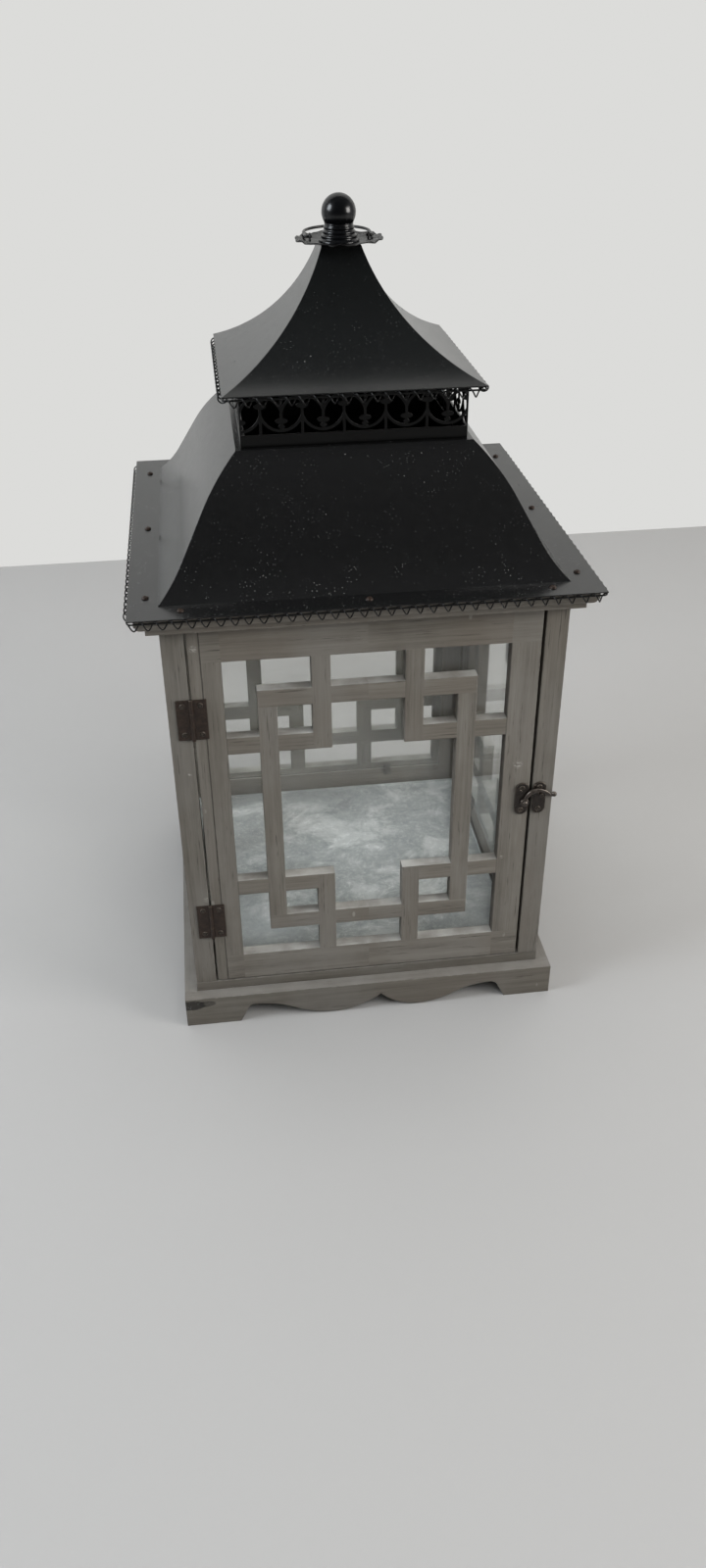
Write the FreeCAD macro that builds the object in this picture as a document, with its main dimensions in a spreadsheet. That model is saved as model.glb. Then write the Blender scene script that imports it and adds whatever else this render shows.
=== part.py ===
import FreeCAD
import Part
import Sketcher
import math
import os
import re

# Square candle lantern with a pagoda roof: a wooden cabinet with fretwork panes, a hinged door
# with a hook latch, a two-tier sheet-metal roof with wire-trimmed eaves, and a ball finial with
# a bail. Millimetres. +Z is up, the door faces -Y, the origin is on the floor under the centre.

Vector = FreeCAD.Vector
UP = Vector(0, 0, 1)
OUTWARD = Vector(0, -1, 0)

doc = FreeCAD.newDocument("lantern")
sheet = doc.addObject("Spreadsheet::Sheet", "sizes")

# ---------------------------------------------------------------------------------------------
# Driving sizes: (name, value, what it is)
# ---------------------------------------------------------------------------------------------
SIZES = [
    # cabinet
    ("body_half", 177, "half width over the corner posts"),
    ("post_width", 20, "square corner post"),
    ("post_height", 398, "post, between base board and top board"),
    ("apron_thickness", 13, "scalloped board round the foot"),
    ("apron_height", 35, "scalloped board, floor to top edge"),
    ("base_rise", 11, "base board showing above the apron"),
    ("base_thickness", 18, "base board"),
    ("foot_length", 51.6, "bracket foot along the floor"),
    ("scallop_peak", 21.6, "highest point of the scallop beside a foot"),
    ("scallop_peak_inset", 67.6, "that point, from the board's end"),
    ("peak_run", 7, "rounding of that point, along the board"),
    ("peak_drop", 3, "rounding of that point, down"),
    ("lobe_gap", 1.6, "lowest point of a lobe, above the floor"),
    ("lobe_spacing", 87.5, "between the two lobes' lowest points"),
    ("lobe_offset", 2.4, "lobes' middle, right of the template's middle"),
    ("cusp_height", 19.6, "point between the lobes"),
    ("cusp_offset", 7.7, "that point, right of the template's middle"),
    ("scallop_offset", 3.4, "template's middle, right of the board's middle"),
    ("top_overhang", 19, "top board past the posts"),
    ("top_thickness", 19, "top board"),
    ("top_fascia", 7.5, "plain upper edge of the top board"),
    ("top_quirk", 1.2, "small steps of the moulding"),
    ("top_ovolo", 6, "round of the moulding"),
    ("vent_border", 32, "square vent in the top board, inside the posts' inner faces"),
    ("vent_corner", 12, "corner radius of that vent"),
    # fretwork panels
    ("panel_thickness", 15, "fretwork panel"),
    ("panel_recess", 2, "side and back panels, behind the posts' faces"),
    ("panel_stile", 29.6, "fretwork's window, inside the posts' inner faces"),
    ("window_bottom", 32.4, "window, above the base board"),
    ("window_drop", 34.4, "window, below the top board"),
    ("bar_width", 17, "fretwork bar"),
    ("ring_side", 37.6, "inner rectangle's upright bars, from the window's side to their middle"),
    ("ring_end", 38.9, "inner rectangle's level bars, from the window's end to their middle"),
    ("stub_x", 41.5, "upright short bars, from the middle"),
    ("stub_z", 80.4, "level short bars, from the middle"),
    ("rebate_width", 8, "glass rebate round the window"),
    ("rebate_depth", 3.2, "glass rebate"),
    ("glass_thickness", 3, "window glass"),
    ("glass_play", 0.5, "glass to the rebate's edge"),
    ("seat_gap", 0.05, "between faces that are glued, soldered or bedded"),
    ("clip_length", 14, "glazing clip, across the edge"),
    ("clip_width", 9, "glazing clip, along the edge"),
    ("clip_thickness", 1, "glazing clip"),
    ("clip_bite", 5, "glazing clip over the glass"),
    ("clip_pin_radius", 0.8, "glazing clip's nail"),
    ("clip_pin_length", 7, "glazing clip's nail in the wood"),
    ("clip_offset", 70, "glazing clips either side of the middle of an edge"),
    # door
    ("door_hinge_gap", 2, "door to post, hinge side"),
    ("door_latch_gap", 3, "door to post, latch side"),
    ("door_bottom_gap", 1.5, "door to base board"),
    ("door_top_gap", 1.5, "door to top board"),
    ("strip_width", 10.2, "separate hinge strip down the door's edge"),
    ("stop_width", 6, "door stop strip"),
    ("stop_gap", 0.3, "door stop behind the shut door"),
    # butt hinges
    ("leaf_width", 13.5, "hinge leaf, from the pin's axis"),
    ("leaf_height", 40, "hinge leaf"),
    ("leaf_thickness", 1.1, "hinge leaf"),
    ("knuckle_radius", 1.9, "hinge knuckle"),
    ("knuckle_share", 14, "middle knuckle's height"),
    ("knuckle_gap", 0.3, "between knuckles, and round the middle one"),
    ("pin_radius", 1.0, "hinge pin"),
    ("pin_clearance", 0.05, "hinge pin in its knuckles, radial"),
    ("pin_head", 0.8, "domed end of a hinge pin"),
    ("upper_hinge_drop", 89.2, "upper hinge's middle, below the top board"),
    ("lower_hinge_z", 79.3, "lower hinge's middle, above the base board"),
    ("leaf_screw_inset", 5.5, "screw, from a leaf's end"),
    # small wood screws
    ("screw_head_radius", 2.6, "hardware screw head"),
    ("screw_head_rise", 0.45, "hardware screw head above its plate"),
    ("screw_radius", 1.2, "hardware screw shank"),
    ("screw_length", 9, "hardware screw in the wood"),
    ("screw_slot", 0.6, "slot width"),
    ("pilot_clearance", 0.05, "screw in its hole, radial"),
    # hook latch
    ("latch_drop", 2, "latch plates' middle, below the posts' middle"),
    ("plate_width", 13, "latch plate and keeper"),
    ("plate_height", 35, "latch plate and keeper"),
    ("plate_thickness", 1.6, "latch plate and keeper"),
    ("plate_inset", 0.5, "latch plate to the door's edge, keeper to the post's"),
    ("plate_screw_z", 12.4, "plate screws above and below the middle"),
    ("pivot_x", 2.8, "hook's pivot, right of its plate's middle"),
    ("pivot_z", -3.5, "hook's pivot, above its plate's middle"),
    ("pivot_radius", 1.5, "hook's pivot rivet"),
    ("pivot_head_radius", 2.7, "rivet head"),
    ("pivot_head_rise", 1.2, "rivet head"),
    ("hook_clearance", 0.3, "hook to its plate, and to the peg"),
    ("hook_bore_clearance", 0.06, "hook on its rivet, radial"),
    ("hook_boss_radius", 4.3, "round end of the hook"),
    ("hook_width", 3.8, "hook's arm"),
    ("hook_thickness", 2.2, "hook's arm"),
    ("hook_rise_radius", 12.8, "arm from the boss up to its crown"),
    ("hook_fall_radius", 14, "arm from its crown down"),
    ("hook_fall_angle", 48, "slope at the end of that fall, degrees"),
    ("hook_curl_radius", 3.6, "curl up to the finger ball"),
    ("hook_curl_angle", 40, "slope at the end of the curl, degrees"),
    ("hook_ball_radius", 2.6, "finger ball"),
    ("peg_radius", 1.9, "keeper's peg under the arm"),
    ("peg_offset", 2.9, "peg, right of the crown"),
    ("peg_reach", 1.0, "peg past the hook's front face"),
    # zinc floor tray
    ("tray_play", 1, "zinc tray to the posts"),
    ("tray_lip", 3.5, "tray's upturned edge"),
    ("tray_gauge", 0.7, "zinc sheet"),
    # lower roof
    ("roof_gauge", 0.8, "roof sheet"),
    ("trim_gap", 0.35, "wire trim to the top board"),
    ("trim_inset", 0.6, "coil's middle, inside the eave's edge"),
    ("roof_height", 103.4, "lower roof, brim to lip"),
    ("lip_width", 4.7, "flat lip outside the gallery"),
    ("throat_inset", 5, "opening in the lip, inside the gallery's face"),
    ("shoulder_slope", 42, "roof face under the lip, degrees"),
    ("face_slope", 61, "straight middle of the roof face, degrees"),
    ("brim_slope", 42, "roof face above the brim, degrees"),
    ("shoulder_radius", 161, "convex shoulder"),
    ("brim_radius", 108, "concave foot of the roof face"),
    ("brim_screw_inset", 15, "brim screws, from the brim's edge"),
    ("brim_screw_end", 44.1, "outer brim screws, from the brim's corner"),
    ("brim_head_radius", 3.1, "brim screw head"),
    ("brim_head_rise", 1.9, "brim screw head"),
    ("brim_screw_radius", 1.6, "brim screw shank"),
    ("brim_screw_length", 12, "brim screw in the top board"),
    # gallery between the roofs
    ("gallery_half", 96.8, "half width of the openwork gallery"),
    ("gallery_gauge", 1.4, "openwork strip"),
    ("lower_band", 10.4, "plain band along the bottom"),
    ("upper_band", 6.6, "plain band along the top"),
    ("half_periods", 11, "half repeats of the pattern on each side"),
    ("strand_width", 2.3, "interlaced strands"),
    ("stem_width", 2.2, "upright stems"),
    ("swag_low", 3, "lowest point of a swag, above the lower band"),
    ("swag_spring", 16, "where a swag leaves its stem, above the band"),
    ("bud_level", 11, "bud, above the lower band"),
    ("bud_length", 10.4, "bud, across"),
    ("bud_height", 4.6, "bud"),
    ("bead_level", 6.4, "bead under the bud, above the lower band"),
    ("bead_length", 5.6, "bead, across"),
    ("bead_height", 3.6, "bead"),
    # upper roof
    ("upper_overhang", 13.4, "upper eave past the gallery"),
    ("upper_drop", 46.6, "upper eave's edge, above the lower roof's lip"),
    ("upper_height", 95.6, "upper roof, eave to cap"),
    ("cap_half", 16.8, "half width of the flat cap"),
    ("pagoda_hollow", 14.1, "sag of the concave faces"),
    # eave trim
    ("trim_wire", 1.3, "diameter of the coiled wire"),
    ("trim_radius", 3.5, "coil, to the middle of its wire"),
    ("trim_pitch", 11.8, "from loop to loop"),
    ("core_wire", 1.6, "diameter of the straight wire inside the coil"),
    ("core_gap", 0.3, "straight wire to the coil"),
    ("core_corner", 3, "bend of the straight wire at a corner"),
    # finial
    ("disc_radius", 37.8, "ruffled disc"),
    ("disc_flat", 18, "level middle of the disc, radius"),
    ("disc_rise", 3, "rim above the middle"),
    ("disc_gauge", 0.8, "disc sheet"),
    ("disc_waves", 12, "ruffles round the rim"),
    ("disc_ruffle", 1.1, "depth of the ruffles in plan"),
    ("neck_foot", 15.2, "neck's foot radius"),
    ("neck_top", 12.4, "neck's top radius"),
    ("neck_height", 14.4, "neck"),
    ("neck_bead", 1.1, "ring mouldings on the neck"),
    ("ball_radius", 14.6, "ball"),
    ("ball_gap", 0.1, "ball in the neck's cup"),
    ("rod_radius", 2.5, "threaded rod through the finial"),
    ("rod_clearance", 0.1, "rod in its holes, radial"),
    ("rod_in_ball", 9, "rod, past the ball's lowest point"),
    ("rod_below_cap", 9, "rod, below the cap's underside"),
    ("nut_half", 4, "nut, half across flats"),
    ("nut_height", 4, "nut"),
    # bail handle
    ("bail_half", 28.5, "bail's legs, to the middle of the wire"),
    ("bail_wire", 2.4, "diameter of the bail's wire"),
    ("bail_leg", 18, "straight leg up to the bow"),
    ("bail_bend", 2.2, "bend from leg to pin"),
    ("bail_pivot_rise", 1.2, "pivot above the disc's rim"),
    ("bail_clearance", 0.06, "bail in its ears, radial"),
    ("bail_lean", 89, "bail folded back, degrees from upright"),
    ("ear_thickness", 1.2, "lanced ear on the disc"),
    ("ear_half", 3, "half width of an ear"),
    ("ear_inset", 3.6, "ear's middle inside the bail's leg"),
    ("ear_margin", 1.7, "ear round its hole"),
    ("pin_past_ear", 1, "bail's pin past the ear"),
]

# Sizes that follow from the driving ones.
FOLLOWING = [
    ("base_half", "body_half + apron_thickness"),
    ("base_top", "apron_height + base_rise"),
    ("post_top", "base_top + post_height"),
    ("board_top", "post_top + top_thickness"),
    ("top_half", "body_half + top_overhang"),
    ("doorway_half", "body_half - post_width"),
    ("vent_half", "doorway_half - vent_border"),
    ("tray_half", "doorway_half - tray_play"),
    ("window_half", "doorway_half - panel_stile"),
    ("window_height", "post_height - window_bottom - window_drop"),
    ("ring_half_width", "window_half - ring_side"),
    ("ring_half_height", "window_height / 2 - ring_end"),
    ("window_low", "base_top + window_bottom"),
    ("window_mid", "window_low + window_height / 2"),
    ("glass_half", "window_half + rebate_width - glass_play"),
    ("glass_height", "window_height + 2 * (rebate_width - glass_play)"),
    ("bar_depth", "panel_thickness - rebate_depth"),
    ("door_left", "door_hinge_gap - doorway_half"),
    ("door_right", "doorway_half - door_latch_gap"),
    ("door_low", "base_top + door_bottom_gap"),
    ("door_height", "post_height - door_bottom_gap - door_top_gap"),
    ("hinge_x", "door_hinge_gap / 2 - doorway_half"),
    ("hinge_y", "-body_half - knuckle_radius - knuckle_gap / 3"),
    ("latch_mid", "base_top + post_height / 2 - latch_drop"),
    ("latch_x", "door_right - plate_inset - plate_width / 2"),
    ("keeper_x", "doorway_half + plate_inset + plate_width / 2"),
    ("plate_face", "-body_half - plate_thickness"),
    ("hook_back", "plate_face - screw_head_rise - hook_clearance"),
    ("hook_front", "hook_back - hook_thickness"),
    ("trim_outer", "trim_radius + trim_wire / 2"),
    ("brim_trim_half", "top_half + trim_gap + trim_outer"),
    ("brim_half", "brim_trim_half + trim_inset"),
    ("brim_screw_spacing", "brim_half - brim_screw_end"),
    ("brim_under", "board_top + seat_gap"),
    ("brim_top", "brim_under + roof_gauge"),
    ("lip_top", "brim_top + roof_height"),
    ("lip_half", "gallery_half + lip_width"),
    ("throat_half", "gallery_half - throat_inset"),
    ("eave_half", "gallery_half + upper_overhang"),
    ("eave_trim_half", "eave_half - trim_inset"),
    ("eave_top", "lip_top + upper_drop"),
    ("cap_top", "eave_top + upper_height"),
    ("disc_under", "cap_top + seat_gap"),
    ("disc_top", "disc_under + disc_gauge"),
    ("neck_bottom", "disc_top + seat_gap"),
    ("bail_pivot_z", "disc_top + disc_rise + bail_pivot_rise"),
]


def fill_sheet():
    """Writes both lists to the sheet, one aliased row each."""
    row = 1
    for name, value, meaning in SIZES:
        sheet.set(f"A{row}", meaning)
        sheet.set(f"B{row}", str(value))
        sheet.setAlias(f"B{row}", name)
        row += 1
    for name, formula in FOLLOWING:
        sheet.set(f"A{row}", name.replace("_", " "))
        sheet.set(f"B{row}", "=" + formula)
        sheet.setAlias(f"B{row}", name)
        row += 1
    doc.recompute()


fill_sheet()
NAMES = [row[0] for row in SIZES] + [row[0] for row in FOLLOWING]


class Numbers:
    """The sheet's values as plain numbers, for outlines that are worked out in code."""

    def __getattr__(self, name):
        return float(sheet.get(name))


size = Numbers()

# ---------------------------------------------------------------------------------------------
# Helpers
# ---------------------------------------------------------------------------------------------


def rule(text):
    """An expression in sheet names, such as 'body_half - post_width'."""
    return re.sub(r"[a-z][a-z_]*", lambda m: "sizes." + m[0] if m[0] in NAMES else m[0], str(text))


def bind(item, **rules):
    for prop, text in rules.items():
        item.setExpression(prop, rule(text))
    return item


def place(item, x="0", y="0", z="0"):
    """Ties an object's position to the sheet."""
    item.setExpression("Placement.Base.x", rule(x))
    item.setExpression("Placement.Base.y", rule(y))
    item.setExpression("Placement.Base.z", rule(z))
    return item


def turn(item, axis, degrees):
    item.Placement.Rotation = FreeCAD.Rotation(axis, degrees)
    return item


def on_side(item, quarter, distance, tilt=None):
    """Puts something modelled for the front on side 0 front, 1 right, 2 back or 3 left."""
    spin = FreeCAD.Rotation(UP, 90 * quarter)
    item.Placement.Rotation = spin * tilt if tilt else spin
    x = {0: "0", 1: f"({distance})", 2: "0", 3: f"-({distance})"}[quarter]
    y = {0: f"-({distance})", 1: "0", 2: f"({distance})", 3: "0"}[quarter]
    return place(item, x, y)


def box(name, x, y, z, length, width, height):
    item = bind(doc.addObject("Part::Box", name), Length=length, Width=width, Height=height)
    return place(item, x, y, z)


def cylinder(name, x, y, z, radius, height, axis=UP):
    item = bind(doc.addObject("Part::Cylinder", name), Radius=radius, Height=height)
    item.Placement.Rotation = FreeCAD.Rotation(UP, axis)
    return place(item, x, y, z)


def fuse(name, shapes):
    item = doc.addObject("Part::MultiFuse", name)
    item.Shapes = shapes
    item.Refine = True
    return item


def cut(name, base, tool):
    item = doc.addObject("Part::Cut", name)
    item.Base = base
    item.Tool = tool
    item.Refine = True
    return item


def common(name, first, second):
    item = doc.addObject("Part::Common", name)
    item.Base = first
    item.Tool = second
    return item


def group(name, shapes):
    item = doc.addObject("Part::Compound", name)
    item.Links = shapes
    return item


def sketch_in(owner, name, edges):
    """A sketch of finished edges on a body's XY plane, or a free one."""
    add = owner.newObject if owner else doc.addObject
    sketch = add("Sketcher::SketchObject", name)
    if owner:
        plane = [f for f in owner.Origin.OriginFeatures if f.Role == "XY_Plane"][0]
        sketch.AttachmentSupport = [(plane, "")]
        sketch.MapMode = "FlatFace"
    for edge in edges:
        sketch.addGeometry(edge, False)
    return sketch


def board(name, x, y, z, length, width, height):
    """A plain board: a rectangle tied to the sheet, padded upwards."""
    body = doc.addObject("PartDesign::Body", name)
    corners = [Vector(0, 0, 0), Vector(10, 0, 0), Vector(10, 10, 0), Vector(0, 10, 0)]
    edges = [Part.LineSegment(corners[n], corners[(n + 1) % 4]) for n in range(4)]
    sketch = sketch_in(body, name + "_outline", edges)
    for n in range(4):
        sketch.addConstraint(Sketcher.Constraint("Coincident", n, 2, (n + 1) % 4, 1))
    for n, kind in enumerate(["Horizontal", "Vertical", "Horizontal", "Vertical"]):
        sketch.addConstraint(Sketcher.Constraint(kind, n))
    sketch.addConstraint(Sketcher.Constraint("Coincident", 0, 1, -1, 1))
    sketch.addConstraint(Sketcher.Constraint("DistanceX", 0, 1, 0, 2, 10))
    sketch.renameConstraint(sketch.ConstraintCount - 1, "along")
    sketch.addConstraint(Sketcher.Constraint("DistanceY", 1, 1, 1, 2, 10))
    sketch.renameConstraint(sketch.ConstraintCount - 1, "across")
    sketch.setExpression("Constraints.along", rule(length))
    sketch.setExpression("Constraints.across", rule(width))
    pad = body.newObject("PartDesign::Pad", name + "_pad")
    pad.Profile = sketch
    bind(pad, Length=height)
    return place(body, x, y, z)


def line(start, end):
    return Part.LineSegment(Vector(*start, 0), Vector(*end, 0))


def arc(start, middle, end):
    return Part.Arc(Vector(*start, 0), Vector(*middle, 0), Vector(*end, 0))


def on_circle(centre, radius, degrees):
    angle = math.radians(degrees)
    return (centre[0] + radius * math.cos(angle), centre[1] + radius * math.sin(angle))


def circle_arc(centre, radius, start, end):
    """An arc by centre, radius and its start and end angles in degrees."""
    middle = (start + end) / 2
    return arc(*(on_circle(centre, radius, a) for a in (start, middle, end)))


def mirrored(edges):
    """The given edges and their mirror images in the line x = 0."""
    flip = FreeCAD.Matrix()
    flip.A11 = -1
    copies = []
    for edge in edges:
        copy = edge.copy()
        copy.transform(flip)
        copies.append(copy)
    return edges + copies


def upright_prism(name, edges, reach):
    """Extrudes an outline drawn in x and z, along y, as far as reach in all."""
    sketch = sketch_in(None, name + "_outline", edges)
    sketch.Placement.Rotation = FreeCAD.Rotation(Vector(1, 0, 0), 90)
    prism = doc.addObject("Part::Extrusion", name)
    prism.Base = sketch
    prism.DirMode = "Normal"
    prism.Solid = True
    prism.Symmetric = True
    return bind(prism, LengthFwd=reach)


def mitred(name, edges, reach):
    """A square solid with mitred corners: two crossed prisms of one outline."""
    first = upright_prism(name + "_along", edges, reach)
    second = upright_prism(name + "_across", edges, reach)
    crossed = doc.addObject("Part::Compound", name + "_turned")
    crossed.Links = [second]
    turn(crossed, UP, 90)
    return common(name, first, crossed)


# ---------------------------------------------------------------------------------------------
# Foot and cabinet
# ---------------------------------------------------------------------------------------------


def level_arc(start, end):
    """An arc that leaves start level and ends at end."""
    run, rise = end[0] - start[0], end[1] - start[1]
    radius = (run ** 2 + rise ** 2) / (2 * abs(rise))
    half = math.atan2(abs(run), radius - abs(rise)) / 2
    middle = (
        start[0] + math.copysign(radius * math.sin(half), run),
        start[1] + math.copysign(radius * (1 - math.cos(half)), rise),
    )
    return arc(start, middle, end)


def scallop():
    """The apron's lower edge, as (edges, left foot's inner end, right foot's inner end)."""
    middle = size.scallop_offset
    cusp = (middle + size.cusp_offset, size.cusp_height)
    edges, feet = [], []
    for sign in (-1, 1):
        lobe = (middle + size.lobe_offset + sign * size.lobe_spacing / 2, size.lobe_gap)
        peak = (middle + sign * (size.base_half - size.scallop_peak_inset), size.scallop_peak)
        knee = (peak[0] + sign * size.peak_run, peak[1] - size.peak_drop)
        foot = (middle + sign * (size.base_half - size.foot_length), 0)
        between = ((lobe[0] + peak[0]) / 2, (lobe[1] + peak[1]) / 2)
        edges += [level_arc(lobe, cusp), level_arc(lobe, between), level_arc(peak, between),
                  level_arc(peak, knee), line(knee, foot)]
        feet.append(foot[0])
    return edges, feet[0], feet[1]


def apron(name, half_length, quarter):
    """A scalloped board, drawn flat, stood up and set against one side of the base board."""
    body = doc.addObject("PartDesign::Body", name)
    edges, left, right = scallop()
    top = size.apron_height
    edges += [
        line((left, 0), (-half_length, 0)),
        line((-half_length, 0), (-half_length, top)),
        line((-half_length, top), (half_length, top)),
        line((half_length, top), (half_length, 0)),
        line((half_length, 0), (right, 0)),
    ]
    sketch = sketch_in(body, name + "_outline", edges)
    pad = body.newObject("PartDesign::Pad", name + "_pad")
    pad.Profile = sketch
    bind(pad, Length="apron_thickness")
    return on_side(body, quarter, "body_half", FreeCAD.Rotation(Vector(1, 0, 0), 90))


def cabinet():
    apron("apron_front", size.base_half, 0)
    apron("apron_right", size.body_half, 1)
    apron("apron_back", size.base_half, 2)
    apron("apron_left", size.body_half, 3)
    board("base_board", "-body_half", "-body_half", "base_top - base_thickness",
          "2 * body_half", "2 * body_half", "base_thickness")
    for end, y in (("front", "-body_half"), ("back", "body_half - post_width")):
        for hand, x in (("left", "-body_half"), ("right", "body_half - post_width")):
            if end == "back":
                board(f"post_{end}_{hand}", x, y, "base_top", "post_width", "post_width", "post_height")
    board("door_stop", "doorway_half - stop_width", "panel_thickness + stop_gap - body_half",
          "base_top", "stop_width", "post_width - panel_thickness - stop_gap", "post_height")
    # zinc tray: a pan with a low upturned edge, standing on the base board
    pan = box("tray_pan", "-tray_half", "-tray_half", "base_top + seat_gap",
              "2 * tray_half", "2 * tray_half", "tray_lip")
    well = box("tray_well", "tray_gauge - tray_half", "tray_gauge - tray_half",
               "base_top + seat_gap + tray_gauge",
               "2 * (tray_half - tray_gauge)", "2 * (tray_half - tray_gauge)", "tray_lip")
    cut("zinc_tray", pan, well)


def top_board():
    """The moulded board over the posts, with its vent and the brim screws' pilot holes."""
    low, high, half = size.post_top, size.board_top, size.top_half
    fascia = high - size.top_fascia
    quirk = half - size.top_quirk
    round_end = (quirk - size.top_ovolo, fascia - size.top_ovolo)
    foot_x = round_end[0] - size.top_quirk
    bulge = size.top_ovolo * (1 - math.sqrt(0.5))
    edges = [
        line((half, high), (half, fascia)),
        line((half, fascia), (quirk, fascia)),
        arc((quirk, fascia), (quirk - bulge, fascia - size.top_ovolo + bulge), round_end),
        line(round_end, (foot_x, round_end[1])),
        line((foot_x, round_end[1]), (foot_x, low)),
    ]
    edges = mirrored(edges) + [line((-half, high), (half, high)), line((-foot_x, low), (foot_x, low))]
    slab = mitred("top_slab", edges, "2 * top_half + 20")
    vent = box("vent_block", "-vent_half", "-vent_half", "post_top - 1",
               "2 * vent_half", "2 * vent_half", "top_thickness + 2")
    rounded = doc.addObject("Part::Fillet", "vent")
    rounded.Base = vent
    doc.recompute()
    upright = [n + 1 for n, e in enumerate(vent.Shape.Edges)
               if abs(e.Vertexes[0].Z - e.Vertexes[1].Z) > 1]
    rounded.Edges = [(n, size.vent_corner, size.vent_corner) for n in upright]
    holes = [
        cylinder(f"pilot_{n}", x, y, "board_top - brim_screw_length",
                 "brim_screw_radius + pilot_clearance", "brim_screw_length + 1")
        for n, (x, y) in enumerate(brim_screw_places())
    ]
    cut("top_board", slab, group("top_board_openings", [rounded] + holes))


def brim_screw_places():
    """Three screws on each side of the brim."""
    far = "(brim_half - brim_screw_inset)"
    places = []
    for along in ("-brim_screw_spacing", "0", "brim_screw_spacing"):
        places += [(along, "-" + far), (far, along), (along, far), ("-" + far, along)]
    return places


# ---------------------------------------------------------------------------------------------
# Fretwork panels, glass and clips
# ---------------------------------------------------------------------------------------------


def fretwork(name, left, right, low, height):
    """A pierced panel, its outer face on y = 0, with the glass rebate and clip holes behind."""
    deep = "panel_thickness"
    inner_low = "window_low"
    inner_high = "(window_low + window_height)"
    bar = "bar_width"
    pieces = [
        ("stile_left", left, low, f"-window_half - ({left})", height),
        ("stile_right", "window_half", low, f"({right}) - window_half", height),
        ("rail_low", left, low, f"({right}) - ({left})", f"{inner_low} - ({low})"),
        ("rail_high", left, inner_high, f"({right}) - ({left})", f"({low}) + ({height}) - {inner_high}"),
    ]
    for sign, word in ((-1, "low"), (1, "high")):
        level = f"window_mid + {sign} * ring_half_height - bar_width / 2"
        pieces.append((f"ring_{word}", "-ring_half_width - bar_width / 2", level,
                       "2 * ring_half_width + bar_width", bar))
    for sign, word in ((-1, "left"), (1, "right")):
        across = f"{sign} * ring_half_width - bar_width / 2"
        pieces.append((f"ring_{word}", across, "window_mid - ring_half_height - bar_width / 2",
                       bar, "2 * ring_half_height + bar_width"))
    stub_drop = "window_height / 2 - stub_z + bar_width / 2"
    for sign, word in ((-1, "left"), (1, "right")):
        across = f"{sign} * stub_x - bar_width / 2"
        pieces.append((f"drop_{word}", across, "window_mid + stub_z - bar_width / 2", bar, stub_drop))
        pieces.append((f"rise_{word}", across, inner_low, bar, stub_drop))
    reach = "window_half - stub_x + bar_width / 2"
    for sign, word in ((-1, "low"), (1, "high")):
        level = f"window_mid + {sign} * stub_z - bar_width / 2"
        pieces.append((f"arm_left_{word}", "-window_half", level, reach, bar))
        pieces.append((f"arm_right_{word}", "stub_x - bar_width / 2", level, reach, bar))
    solids = [box(f"{name}_{word}", x, "0", z, wide, deep, tall) for word, x, z, wide, tall in pieces]
    panel = fuse(name + "_board", solids)
    rebate = box(name + "_rebate", "-window_half - rebate_width", "bar_depth",
                 "window_low - rebate_width", "2 * (window_half + rebate_width)",
                 "rebate_depth + 1", "window_height + 2 * rebate_width")
    holes = [
        cylinder(f"{name}_hole_{n}", x, "panel_thickness - clip_pin_length", z,
                 "clip_pin_radius + pilot_clearance", "clip_pin_length + 1", Vector(0, 1, 0))
        for n, (x, z, _) in enumerate(clip_places())
    ]
    return panel, [rebate] + holes


def clip_places():
    """Each clip's nail, as (x, z, quarter turns that point its tongue at the glass)."""
    back = "(clip_length - clip_bite) / 2"
    side = f"(window_half + rebate_width - glass_play + {back})"
    low = f"(window_low - rebate_width + glass_play - {back})"
    high = f"(window_low + window_height + rebate_width - glass_play + {back})"
    places = []
    for sign in ("-", "+"):
        along = f"window_mid {sign} clip_offset"
        places += [("-" + side, along, 0), (side, along, 2)]
        places += [(f"0 {sign} clip_offset", low, 1), (f"0 {sign} clip_offset", high, 3)]
    return places


def clips(name):
    """The glazing clips of one panel: each a flat tongue over the glass and a nail in the wood."""
    behind = ("(clip_length + clip_bite) / 2", "(clip_length - clip_bite) / 2")
    made = []
    for n, (x, z, quarter) in enumerate(clip_places()):
        wide = "clip_length" if quarter % 2 == 0 else "clip_width"
        tall = "clip_width" if quarter % 2 == 0 else "clip_length"
        before = {0: behind[1], 1: "clip_width / 2", 2: behind[0], 3: "clip_width / 2"}[quarter]
        below = {0: "clip_width / 2", 1: behind[1], 2: "clip_width / 2", 3: behind[0]}[quarter]
        tongue = box(f"{name}_tongue_{n}", f"{x} - {before}", "panel_thickness + seat_gap",
                     f"{z} - {below}", wide, "clip_thickness", tall)
        nail = cylinder(f"{name}_nail_{n}", x, "panel_thickness - clip_pin_length + seat_gap", z,
                        "clip_pin_radius", "clip_pin_length", Vector(0, 1, 0))
        made.append(fuse(f"{name}_{n}", [tongue, nail]))
    return group(name, made)


def pane(name):
    sheet_glass = box(name + "_sheet", "-glass_half", "bar_depth + seat_gap",
                      "window_low - rebate_width + glass_play",
                      "2 * glass_half", "glass_thickness", "glass_height")
    return group(name, [sheet_glass])


def fixed_panels():
    for hand, quarter in (("right", 1), ("back", 2), ("left", 3)):
        half = "doorway_half"
        panel, openings = fretwork(f"fretwork_{hand}", f"-{half}", half, "base_top", "post_height")
        piece = cut(f"fretwork_{hand}", panel, group(f"fretwork_{hand}_openings", openings))
        for item in (piece, pane(f"glass_{hand}"), clips(f"glazing_clips_{hand}")):
            on_side(item, quarter, "body_half - panel_recess")


# ---------------------------------------------------------------------------------------------
# Door, hinges and latch
# ---------------------------------------------------------------------------------------------


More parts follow.
